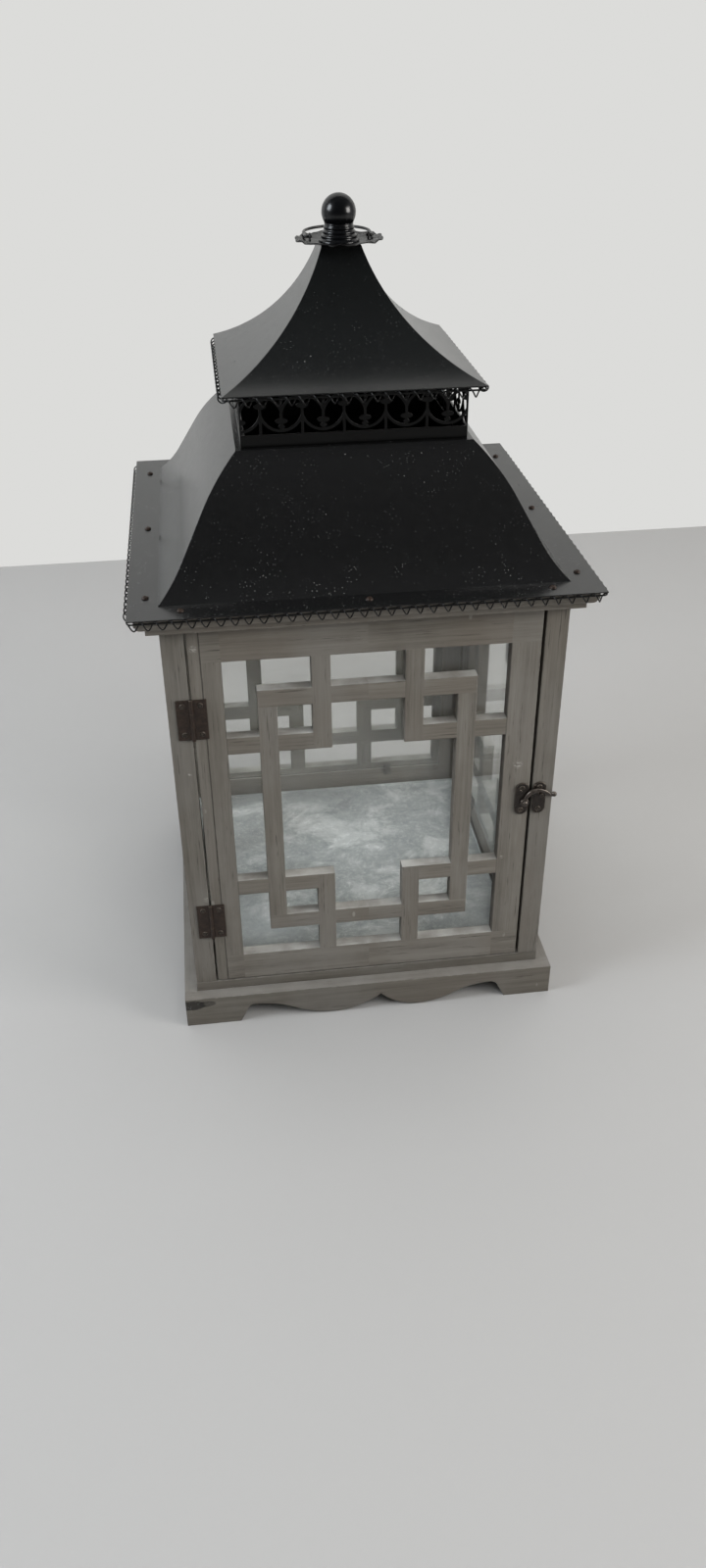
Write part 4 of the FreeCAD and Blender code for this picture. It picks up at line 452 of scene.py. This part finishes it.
def zinc():
    """Galvanised sheet: grey spangle with chalky white bloom and a few scuffs."""
    t = Coat("zinc")
    x, y, _ = t.split(t.place)
    bloom = t.noise(t.stretch(t.place, (1, 1.25, 1)), 17, 7, 0.72, 0.5)
    cloud = t.noise(t.stretch(t.place, shift=(1, 2, 0)), 6.5, 4, 0.6)
    spangle = t.noise(t.place, 85, 3, 0.7)
    white = t.math("MULTIPLY", t.span(bloom, 0.47, 0.63), t.span(cloud, 0.38, 0.58))
    grit = t.span(t.noise(t.place, 190, 4, 0.8), 0.5, 0.66)
    fine = t.math("MULTIPLY", grit, t.span(cloud, 0.42, 0.6, 0.2, 0.8))
    base = t.ramp(t.math("ADD", t.math("MULTIPLY", bloom, 0.6), t.math("MULTIPLY", spangle, 0.4)),
                  (0.34, (0.34, 0.36, 0.365)), (0.50, (0.44, 0.46, 0.462)), (0.66, (0.55, 0.565, 0.565)))
    base = t.mix(t.math("MULTIPLY", white, 0.75), base, (0.74, 0.755, 0.75))
    base = t.mix(t.math("MULTIPLY", fine, 0.55), base, (0.80, 0.81, 0.80))
    drift = t.math("MULTIPLY", t.noise(t.place, 45, 5, 0.75), 0.035)
    warped = t.add_vectors(t.stretch(t.place, (1, 1.3, 1), shift=(0.3, 0.1, 0)), drift)
    crackle = t.span(t.cells(warped, 62, "DISTANCE_TO_EDGE"), 0.075, 0.01)
    crackle = t.math("MULTIPLY", crackle, t.math("MULTIPLY", white, t.span(spangle, 0.4, 0.6)))
    base = t.mix(t.math("MULTIPLY", crackle, 0.8), base, (0.90, 0.915, 0.91))
    pitted = t.span(t.noise(t.stretch(t.place, shift=(4, 7, 0)), 30, 6, 0.75), 0.56, 0.68, 0.0, 0.55)
    base = t.mix(pitted, base, (0.27, 0.29, 0.295))
    rim = t.math("MAXIMUM", t.math("ABSOLUTE", x), t.math("ABSOLUTE", y))
    base = t.mix(t.span(rim, 0.125, 0.150, 0.0, 0.35), base, (0.30, 0.315, 0.315))
    t.set(Base_Color=base, Roughness=t.span(bloom, 0.3, 0.7, 0.42, 0.62), Metallic=0.25)
    t.bump(t.math("ADD", bloom, t.math("MULTIPLY", spangle, 0.4)), 0.25, 0.0006)
    return t.material


def window_glass():
    """Clear float glass with a faint film of dust. Light passes straight through it to the inside."""
    t = Coat("window_glass")
    film = t.noise(t.place, 14, 5, 0.6)
    smear = t.span(t.noise(t.stretch(t.place, (1, 1, 0.3)), 60, 4, 0.7), 0.5, 0.8, 0.0, 0.10)
    t.set(Base_Color=(0.90, 0.905, 0.89), Roughness=t.math("ADD", 0.015, t.math("MULTIPLY", smear, 0.5)),
          Transmission_Weight=1.0, IOR=1.45)
    clear = t.nodes.new("ShaderNodeBsdfTransparent")
    t.put(clear, 0, (0.93, 0.94, 0.93))
    haze = t.nodes.new("ShaderNodeBsdfDiffuse")
    t.put(haze, 0, (0.6, 0.61, 0.6))
    dusty = t.mix_shaders(t.span(film, 0.45, 0.8, 0.012, 0.05), t.shader.outputs[0], haze.outputs[0])
    path = t.nodes.new("ShaderNodeLightPath")
    t.put(t.out, "Surface", t.mix_shaders(path.outputs["Is Shadow Ray"], dusty, clear.outputs[0]))
    return t.material


# ---------------------------------------------------------------------------------------------
# Mesh helpers
# ---------------------------------------------------------------------------------------------


def new_piece(name, verts, faces, material, body, slot, *stands_for):
    """A smooth mesh that rides on a body and stands for the nodes named last."""
    mesh = bpy.data.meshes.new(name)
    mesh.from_pydata([tuple(v) for v in verts], [], faces)
    mesh.validate()
    mesh.update()
    mesh.polygons.foreach_set("use_smooth", [True] * len(mesh.polygons))
    mesh.materials.append(material)
    piece = bpy.data.objects.new(name, mesh)
    bpy.context.scene.collection.objects.link(piece)
    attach(piece, body)
    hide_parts(*stands_for)


def tube(points, radius, sides=8, closed=False):
    """A round tube along points, as (verts, faces)."""
    count = len(points)
    points = [Vector(p) for p in points]
    ways = []
    for n in range(count):
        before = points[n - 1] if closed or n else points[0]
        after = points[(n + 1) % count] if closed or n < count - 1 else points[-1]
        ways.append((after - before).normalized())
    normal = ways[0].orthogonal().normalized()
    verts, faces = [], []
    for n in range(count):
        normal = (normal - ways[n] * normal.dot(ways[n])).normalized()
        side = ways[n].cross(normal)
        for k in range(sides):
            a = 2 * math.pi * k / sides
            verts.append(points[n] + (normal * math.cos(a) + side * math.sin(a)) * radius)
    spans = count if closed else count - 1
    for n in range(spans):
        for k in range(sides):
            a, b = n * sides + k, n * sides + (k + 1) % sides
            c, d = (n + 1) % count * sides + k, (n + 1) % count * sides + (k + 1) % sides
            faces.append((a, b, d, c))
    if not closed:
        faces.append(tuple(reversed(range(sides))))
        faces.append(tuple(range((count - 1) * sides, count * sides)))
    return verts, faces


def merge(parts):
    """Joins several (verts, faces) into one."""
    verts, faces = [], []
    for more_verts, more_faces in parts:
        start = len(verts)
        verts += list(more_verts)
        faces += [tuple(start + i for i in face) for face in more_faces]
    return verts, faces


def turned(points, quarter):
    """Points modelled for the front, moved round to side 0 front, 1 right, 2 back or 3 left."""
    spin = Matrix.Rotation(math.pi / 2 * quarter, 3, "Z")
    return [spin @ Vector(p) for p in points]


def lathe(profile, steps=64):
    """Turns (radius, height) pairs round the Z axis; a radius of 0 closes an end."""
    verts, faces, rings = [], [], []
    for radius, height in profile:
        if radius < 1e-6:
            rings.append([len(verts)])
            verts.append(Vector((0, 0, height)))
        else:
            ring = []
            for k in range(steps):
                a = 2 * math.pi * k / steps
                ring.append(len(verts))
                verts.append(Vector((radius * math.cos(a), radius * math.sin(a), height)))
            rings.append(ring)
    for low, high in zip(rings, rings[1:]):
        for k in range(steps):
            a, b = low[k % len(low)], low[(k + 1) % len(low)]
            c, d = high[k % len(high)], high[(k + 1) % len(high)]
            faces.append(tuple(dict.fromkeys((a, b, d, c))))
    return verts, faces


# ---------------------------------------------------------------------------------------------
# Wire trim
# ---------------------------------------------------------------------------------------------

WIRE = 0.00065          # radius of the coils' wire
COIL = 0.0035           # radius of a coil, to the middle of its wire
REACH = COIL + WIRE
PITCH = 0.0118
CORE = 0.0008           # radius of the straight wire
CORE_BEND = 0.003
CLEAR = 0.0001
CORE_LIFT = COIL - WIRE - CLEAR - CORE
UNEVEN = 0.00035


def coil_points(turns, steps):
    """The line of a coil along X round the origin, wound a little unevenly."""
    points = []
    for n in range(turns * steps + 1):
        a = 2 * math.pi * n / steps
        slip = UNEVEN * math.sin(0.31 * a + 0.7) + 0.6 * UNEVEN * math.sin(0.083 * a)
        along = PITCH * (n / steps - turns / 2) + slip
        points.append(Vector((along, -COIL * math.sin(a), COIL * math.cos(a))))
    return points


def trim(word, half, eave, material):
    """Four hand-wound coils under an eave, and the straight wire that runs round inside them."""
    level = eave - REACH
    for hand, quarter in (("front", 0), ("right", 1), ("back", 2), ("left", 3)):
        room = half + REACH if quarter % 2 == 0 else half - REACH - CLEAR
        turns = int(2 * (room - 4 * WIRE) / PITCH)
        points = [p + Vector((0, -half, level)) for p in coil_points(turns, 20)]
        verts, faces = tube(turned(points, quarter), WIRE)
        new_piece(f"{word}_coil_wire_{hand}", verts, faces, material, "cabinet", "trim_wire",
                  f"{word}_coil_{hand}")
    flat, height = half - CORE_BEND, level + CORE_LIFT
    path = []
    for quarter in range(4):
        corner = [(-flat + 2 * flat * k / 24, -half, height) for k in range(25)]
        for k in range(1, 6):
            a = math.pi / 2 * k / 6
            corner.append((flat + CORE_BEND * math.sin(a), -flat - CORE_BEND * math.cos(a), height))
        path += turned(corner, quarter)
    verts, faces = tube(path, CORE, closed=True)
    new_piece(f"{word}_core_wire", verts, faces, material, "cabinet", "trim_wire", f"{word}_eave_wire")


# ---------------------------------------------------------------------------------------------
# Finial
# ---------------------------------------------------------------------------------------------


DISC_LOW = 0.7095       # underside of the ruffled disc
DISC_HOLE = 0.0026
DISC_RIM = 0.0376
EAR = 0.0249            # the ears' distance from the middle
BAIL_PIVOT = 0.7145


def finial(black, pewter):
    # crumpled disc: hammered rings that ruffle more and more towards the rim, which turns up
    steps, rings, gauge = 144, 22, 0.0008
    top, bottom = [], []
    for r in range(rings + 1):
        share = r / rings
        radius = DISC_HOLE + (DISC_RIM - DISC_HOLE) * share
        for k in range(steps):
            a = 2 * math.pi * k / steps
            edge = max(0.0, (share - 0.42) / 0.58)
            wave = (math.sin(11 * a + 0.6) + 0.55 * math.sin(17 * a + 2.0 + 2.5 * share)
                    + 0.4 * math.sin(5 * a))
            ruffle = 0.0007 * edge ** 1.4 * wave
            dent = 0.00022 * math.sin(23 * a + 9 * share) * min(1.0, 2 * share)
            ragged = 1 - 0.035 * edge * (0.5 + 0.5 * math.sin(26 * a + 1.3)) * (0.6 + 0.4 * math.sin(9 * a))
            lift = 0.003 * max(0.0, (radius - 0.018) / 0.0198)
            x, y = radius * ragged * math.cos(a), radius * ragged * math.sin(a)
            z = DISC_LOW + lift + ruffle + dent * edge
            top.append(Vector((x, y, z + gauge)))
            bottom.append(Vector((x, y, z)))
    verts = top + bottom
    offset, faces = len(top), []
    for r in range(rings):
        for k in range(steps):
            a, b = r * steps + k, r * steps + (k + 1) % steps
            c, d = a + steps, b + steps
            faces.append((a, c, d, b))
            faces.append((offset + a, offset + b, offset + d, offset + c))
    for k in range(steps):
        a, b = k, (k + 1) % steps
        faces.append((a, b, offset + b, offset + a))
        a, b = rings * steps + k, rings * steps + (k + 1) % steps
        faces.append((a, offset + a, offset + b, b))
    parts = [(verts, faces)]
    # ears: lanced tabs with round tops and a hole for the bail
    for sign in (-1, 1):
        parts.append(ear(sign * EAR, thickness=0.0012, pivot=BAIL_PIVOT, half=0.003, hole=0.00126,
                         low=DISC_LOW + 0.0004))
    verts, faces = merge(parts)
    new_piece("ruffled_disc_sheet", verts, faces, pewter, "cabinet", "disc_metal", "ruffled_disc")
    neck = [(0.0027, 0.71035), (0.0172, 0.71035), (0.0174, 0.7108), (0.0166, 0.7118), (0.0156, 0.7127),
            (0.0150, 0.7133), (0.0153, 0.7140), (0.0155, 0.7148), (0.0150, 0.7156), (0.0139, 0.7162),
            (0.0136, 0.7168), (0.0140, 0.7175), (0.0141, 0.7183), (0.0136, 0.7190), (0.0128, 0.7196),
            (0.0126, 0.7202), (0.0131, 0.7209), (0.0132, 0.7218), (0.0127, 0.7225), (0.0122, 0.7232),
            (0.0123, 0.7241), (0.0124, 0.72475), (0.01215, 0.72485), (0.0100, 0.7228), (0.0065, 0.7204),
            (0.0027, 0.7193)]
    verts, faces = lathe(neck + neck[:1], 72)
    new_piece("finial_neck_turned", verts, faces, black, "cabinet", "finial_black", "finial_neck")


def ear(x, thickness, pivot, half, hole, low, steps=24):
    """An upright tab across the X axis with a round top and a round hole."""
    outer, inner = [], []
    for k in range(steps):
        a = 2 * math.pi * k / steps
        inner.append((hole * math.cos(a), pivot + hole * math.sin(a)))
        s, c = math.sin(a), math.cos(a)
        if s >= 0:
            outer.append((half * c, pivot + half * s))
        else:
            reach = min(half / max(abs(c), 1e-6), (pivot - low) / max(-s, 1e-6))
            outer.append((reach * c, pivot + reach * s))
    verts, faces = [], []
    for side in (-1, 1):
        for ring in (outer, inner):
            verts += [Vector((x + side * thickness / 2, u, w)) for u, w in ring]
    for k in range(steps):
        n = (k + 1) % steps
        o1, i1, o2, i2 = 0, steps, 2 * steps, 3 * steps
        faces += [(o1 + k, o1 + n, i1 + n, i1 + k), (o2 + k, i2 + k, i2 + n, o2 + n),
                  (o1 + k, o2 + k, o2 + n, o1 + n), (i1 + k, i1 + n, i2 + n, i2 + k)]
    return verts, faces


def screw(radius, rise, shank, length):
    """A round-headed screw on the Z axis, its head on z = 0, with a recess for the driver."""
    profile = [(0.0, -0.3 * rise), (0.14 * radius, -0.3 * rise), (0.32 * radius, 0.97 * rise),
               (0.42 * radius, rise), (0.66 * radius, 0.86 * rise), (0.85 * radius, 0.6 * rise),
               (0.96 * radius, 0.3 * rise), (radius, 0.0), (radius, -0.0001), (shank, -0.0001),
               (shank, -length), (0.0, -length - shank)]
    return lathe(profile, 28)


def brim_screws(material):
    """Three screws along each side of the brim."""
    far = BRIM - 0.015
    places = []
    for along in (-0.157, 0.0, 0.157):
        places += [(along, -far), (far, along), (along, far), (-far, along)]
    parts = []
    for x, y in places:
        verts, faces = screw(radius=0.0031, rise=0.0019, shank=0.0016, length=0.0110)
        parts.append(([v + Vector((x, y, BRIM_TOP + GAP)) for v in verts], faces))
    verts, faces = merge(parts)
    new_piece("brim_screw_heads", verts, faces, material, "cabinet", "roof_screws", "brim_screws")


# ---------------------------------------------------------------------------------------------
# Hinge and latch hardware
# ---------------------------------------------------------------------------------------------

LEAF_FACE = -BODY - GAP - 0.0011
PLATE_FACE = -BODY - GAP - 0.0016
HINGES = (0.3548, 0.1253)       # heights of the two hinges
HINGE_HOLE = 0.0145             # a hinge screw's height above or below its hinge
LATCH = 0.243
LATCH_HOLE = 0.0124
PIVOT = (0.1498, 0.2395)        # x and z of the hook's rivet
HOOK_BORE = 0.00156
HOOK_BALL = 0.0026


def faced(points, x, face, z):
    """Points modelled along +Z, turned to stick out of the front at x, z."""
    return [Vector((x + p.x, face - p.z, z + p.y)) for p in points]


def hardware_screws(material):
    """The screws of the hinges, the latch plate and the keeper, in one piece on each body."""
    for body, hinge_x, plate_x in (("cabinet", -0.1637, 0.164), ("door", -0.1483, 0.147)):
        parts = []
        places = [(hinge_x, LEAF_FACE, hinge + side * HINGE_HOLE) for hinge in HINGES for side in (-1, 1)]
        places += [(plate_x, PLATE_FACE, LATCH + side * LATCH_HOLE) for side in (-1, 1)]
        for x, face, z in places:
            verts, faces = screw(radius=0.00255, rise=0.00044, shank=0.0012, length=0.0095)
            parts.append((faced(verts, x, face, z), faces))
        verts, faces = merge(parts)
        new_piece(f"{body}_screw_heads", verts, faces, material, body, "dark_bronze",
                  f"{body}_hardware_screws")


def hook_route(steps=60):
    """Middle of the hook's arm, from the rivet over the crown to the ball, with how far along it is."""
    rise, fall, curl = 0.0128, 0.014, 0.0036
    fall_end, curl_stop = math.radians(42), math.radians(310)
    fall_centre = (rise, rise - fall)
    low = (fall_centre[0] + fall * math.cos(fall_end), fall_centre[1] + fall * math.sin(fall_end))
    curl_centre = (low[0] + curl * math.cos(fall_end), low[1] + curl * math.sin(fall_end))
    arcs = [((rise, 0), rise, math.pi, math.pi / 2), (fall_centre, fall, math.pi / 2, fall_end),
            (curl_centre, curl, math.pi + fall_end, curl_stop)]
    lengths = [radius * abs(end - start) for _, radius, start, end in arcs]
    route = []
    for (centre, radius, start, end), length in zip(arcs, lengths):
        count = max(3, round(steps * length / sum(lengths)))
        for k in range(count):
            a = start + (end - start) * k / count
            spoke = Vector((math.cos(a), math.sin(a)))
            route.append((Vector(centre) + spoke * radius, spoke * (1 if end < start else -1)))
    last = Vector((math.cos(curl_stop), math.sin(curl_stop)))
    route.append((Vector(curl_centre) + last * curl, -last))
    return route


def hook(material):
    """Cast hook: a boss, an arm that swells over the crown, and a ball to lift it by."""
    route = hook_route()
    back, front = PLATE_FACE - 0.00075, PLATE_FACE - 0.00295
    sides, verts, faces = 16, [], []
    for n, (point, outward) in enumerate(route):
        share = n / (len(route) - 1)
        swell = math.exp(-((share - 0.42) / 0.2) ** 2)
        low = 0.0019 - 0.0002 * share
        high = low + 0.0013 * swell - 0.0002 * share
        bulge = 0.0005 * swell
        centre = point + outward * (high - low) / 2
        half = (high + low) / 2
        for k in range(sides):
            a = 2 * math.pi * k / sides
            c, d = math.cos(a), math.sin(a)
            reach = math.copysign(abs(c) ** 0.75, c) * half
            depth = math.copysign(abs(d) ** 0.75, d)
            y = (back + front) / 2 - depth * ((back - front) / 2 + (bulge if depth > 0 else 0))
            spot = centre + outward * reach
            verts.append(Vector((PIVOT[0] + spot.x, y, PIVOT[1] + spot.y)))
    for n in range(len(route) - 1):
        for k in range(sides):
            a, b = n * sides + k, n * sides + (k + 1) % sides
            faces.append((a, a + sides, b + sides, b))
    faces.append(tuple(range(sides)))
    faces.append(tuple(reversed(range(len(verts) - sides, len(verts)))))
    boss = lathe([(HOOK_BORE, -0.00045), (0.0043, -0.00045), (0.0043, 0.0014), (0.0039, 0.00195),
                  (0.0030, 0.0022), (HOOK_BORE, 0.0022), (HOOK_BORE, -0.00045)], 40)
    boss = (faced(boss[0], PIVOT[0], back, PIVOT[1]), boss[1])
    tip = route[-1][0]
    rings = 14
    ball = lathe([(HOOK_BALL * math.sin(math.pi * k / rings), -HOOK_BALL * math.cos(math.pi * k / rings))
                  for k in range(rings + 1)], 28)
    ball = (faced(ball[0], PIVOT[0] + tip.x, (back + front) / 2, PIVOT[1] + tip.y), ball[1])
    verts, faces = merge([(verts, faces), boss, ball])
    new_piece("hook_cast", verts, faces, material, "hook", "dark_bronze", "latch_hook")
    head = lathe([(0.0, 0.0013), (0.0009, 0.00122), (0.0017, 0.00095), (0.0023, 0.0005), (0.0027, 0.0),
                  (0.0015, 0.0), (0.0015, -0.0045), (0.0, -0.0045)], 32)
    new_piece("rivet_domed", faced(head[0], PIVOT[0], front - 0.0003, PIVOT[1]), head[1], material,
              "door", "dark_bronze", "latch_rivet")


# ---------------------------------------------------------------------------------------------
# Put together
# ---------------------------------------------------------------------------------------------


def build():
    dress_wood()
    roof = black_paint("roof_sheet_paint", (0.0046, 0.0047, 0.0048), 0.25, dust=0.010, wave=0.4,
                       fleck=0.55, seam=True, inside_shade=True)
    cap = black_paint("upper_roof_paint", (0.0034, 0.0040, 0.0040), 0.25, dust=0.008, wave=0.3,
                      fleck=0.45, inside_shade=True)
    openwork = black_paint("openwork_paint", (0.0012, 0.0012, 0.0012), 0.34, dust=0.003, wave=0.1,
                           fleck=0.2, edge=0.0005, inside_shade=True, gloss=0.25)
    wire = black_paint("wire_paint", (0.0025, 0.0025, 0.0024), 0.32, dust=0.006, wave=0.05,
                       fleck=0.0, edge=0.0003, gloss=0.35)
    ball = black_paint("ball_paint", (0.0016, 0.0018, 0.0022), 0.22, dust=0.006, wave=0.12,
                       fleck=0.1, edge=0.0004, gloss=0.42)
    pewter = black_paint("disc_paint", (0.0030, 0.0029, 0.0028), 0.34, dust=0.02, wave=0.9,
                         fleck=0.2, edge=0.0004, gloss=0.34)
    dress(roof, "lower_roof")
    dress(cap, "upper_roof")
    dress(openwork, "gallery_front", "gallery_right", "gallery_back", "gallery_left")
    dress(ball, "finial_ball")
    dress(pewter, "bail_handle")
    dress(dull_steel(), "finial_rod", "finial_nut", "glazing_clips_right", "glazing_clips_back",
          "glazing_clips_left", "glazing_clips_door")
    dark = bronze("hinge_bronze", (0.021, 0.0135, 0.010), (0.17, 0.135, 0.105), 0.36, 0.0006)
    dress(dark, "upper_hinge_frame_leaf", "upper_hinge_door_leaf", "lower_hinge_frame_leaf",
          "lower_hinge_door_leaf")
    # the last number of these bronzes paints their upward faces lighter, as a painted highlight
    light = bronze("hardware_bronze", (0.012, 0.009, 0.007), (0.26, 0.215, 0.175), 0.30, 0.0009, 0.35)
    rubbed_and_highlighted = bronze("hook_bronze", (0.030, 0.024, 0.020), (0.27, 0.235, 0.205), 0.27, 0.0005, 0.8)
    screws = bronze("screw_bronze", (0.022, 0.017, 0.013), (0.44, 0.38, 0.32), 0.32, 0.0007, 0.5)
    dress(light, "upper_hinge_pin", "lower_hinge_pin", "latch_plate", "latch_keeper")
    dress(window_glass(), "glass_right", "glass_back", "glass_left", "door_glass")
    dress(zinc(), "zinc_tray")
    trim("lower", 0.2005, 0.463, wire)
    trim("upper", 0.1096, 0.61294, wire)
    finial(ball, pewter)
    brim_screws(dark)
    hardware_screws(screws)
    hook(rubbed_and_highlighted)


def room():
    """A pale room that is dark on the side where the viewer stands, with a plain pale backdrop."""
    world = bpy.data.worlds.new("room")
    world.use_nodes = True
    t = Tree(world.node_tree)
    _, y, z = t.split(t.nodes.new("ShaderNodeTexCoord").outputs["Generated"])
    behind = t.span(y, -0.8, -0.1, 0.045, 0.48)
    ceiling = t.span(z, 0.35, 0.8, 1.0, 0.22)
    sky = t.nodes.new("ShaderNodeBackground")
    t.put(sky, "Color", (0.95, 0.97, 1.0))
    t.put(sky, "Strength", t.math("MULTIPLY", behind, ceiling))
    pale = t.nodes.new("ShaderNodeBackground")
    t.put(pale, "Color", (0.715, 0.715, 0.70))
    # the camera sees the backdrop, also through the glass
    path = t.nodes.new("ShaderNodeLightPath")
    straight = t.math("LESS_THAN", path.outputs["Diffuse Depth"], 0.5)
    through = t.math("MULTIPLY", path.outputs["Is Transmission Ray"], straight)
    seen = t.math("MAXIMUM", path.outputs["Is Camera Ray"], through)
    out = t.nodes.new("ShaderNodeOutputWorld")
    t.put(out, "Surface", t.mix_shaders(seen, sky.outputs[0], pale.outputs[0]))
    return world


def stage():
    """A pale floor, a pale wall that only light sees, four soft lamps and the camera."""
    floor = [(-FLOOR, -FLOOR, 0), (FLOOR, -FLOOR, 0), (FLOOR, WALL, 0), (-FLOOR, WALL, 0)]
    wall = [(-4, WALL, 0), (4, WALL, 0), (4, WALL, 3.2), (-4, WALL, 3.2)]
    for name, corners, colour, rough in (("floor", floor, (0.375, 0.370, 0.366), 0.6),
                                         ("wall", wall, (0.68, 0.677, 0.663), 0.9)):
        coat = Coat(name)
        coat.set(Base_Color=colour, Roughness=rough)
        mesh = bpy.data.meshes.new(name)
        mesh.from_pydata(corners, [], [(0, 1, 2, 3)])
        mesh.materials.append(coat.material)
        plane = bpy.data.objects.new(name, mesh)
        bpy.context.scene.collection.objects.link(plane)
        plane.visible_camera = name == "floor"

    def lamp(name, place, aim, width, height, power, colour, mirrored=True):
        light = bpy.data.lights.new(name, "AREA")
        light.shape = "RECTANGLE"
        light.size, light.size_y = width, height
        light.energy = power
        light.color = colour
        item = bpy.data.objects.new(name, light)
        item.location = place
        item.visible_glossy = mirrored
        item.rotation_euler = (Vector(aim) - Vector(place)).to_track_quat("-Z", "Y").to_euler()
        bpy.context.scene.collection.objects.link(item)

    lamp("left_window", (-2.4, -0.5, 1.8), (0, 0, 0.3), 1.1, 1.3, 52, (0.88, 0.94, 1.0))
    lamp("right_window", (2.4, -1.3, 1.25), (0, 0, 0.3), 1.2, 1.2, 52, (1.0, 0.975, 0.94))
    lamp("top", (0.0, 0.0, 3.0), (0, 0.2, 0), 2.2, 1.8, 36, (1.0, 0.99, 0.975), mirrored=False)
    lamp("front", (0.2, -2.1, 2.5), (0, 0, 0.25), 1.8, 1.4, 34, (0.99, 1.0, 0.98), mirrored=False)
    bpy.context.scene.world = room()

    # the camera, solved from the lantern's corners in the photograph
    yaw, pitch, roll = 0.1213, 0.5856, -0.0107
    focal, picture_height = 1219.9, 1600
    ahead = Vector((math.sin(yaw) * math.cos(pitch), math.cos(yaw) * math.cos(pitch), -math.sin(pitch)))
    right = Vector((math.cos(yaw), -math.sin(yaw), 0))
    up = right.cross(ahead)
    side = right * math.cos(roll) + up * math.sin(roll)
    above = up * math.cos(roll) - right * math.sin(roll)
    camera = bpy.data.objects.new("camera", bpy.data.cameras.new("camera"))
    camera.matrix_world = Matrix.Translation((-0.1264, -1.0943, 0.8871)) @ Matrix(
        (side, above, -ahead)).transposed().to_4x4()
    camera.data.sensor_fit = "VERTICAL"
    camera.data.sensor_height = 36
    camera.data.lens = 36 * focal / picture_height
    camera.data.clip_start = 0.02
    bpy.context.scene.collection.objects.link(camera)
    bpy.context.scene.camera = camera
    bpy.context.scene.view_settings.view_transform = "Standard"


build()
stage()
bpy.context.view_layer.update()
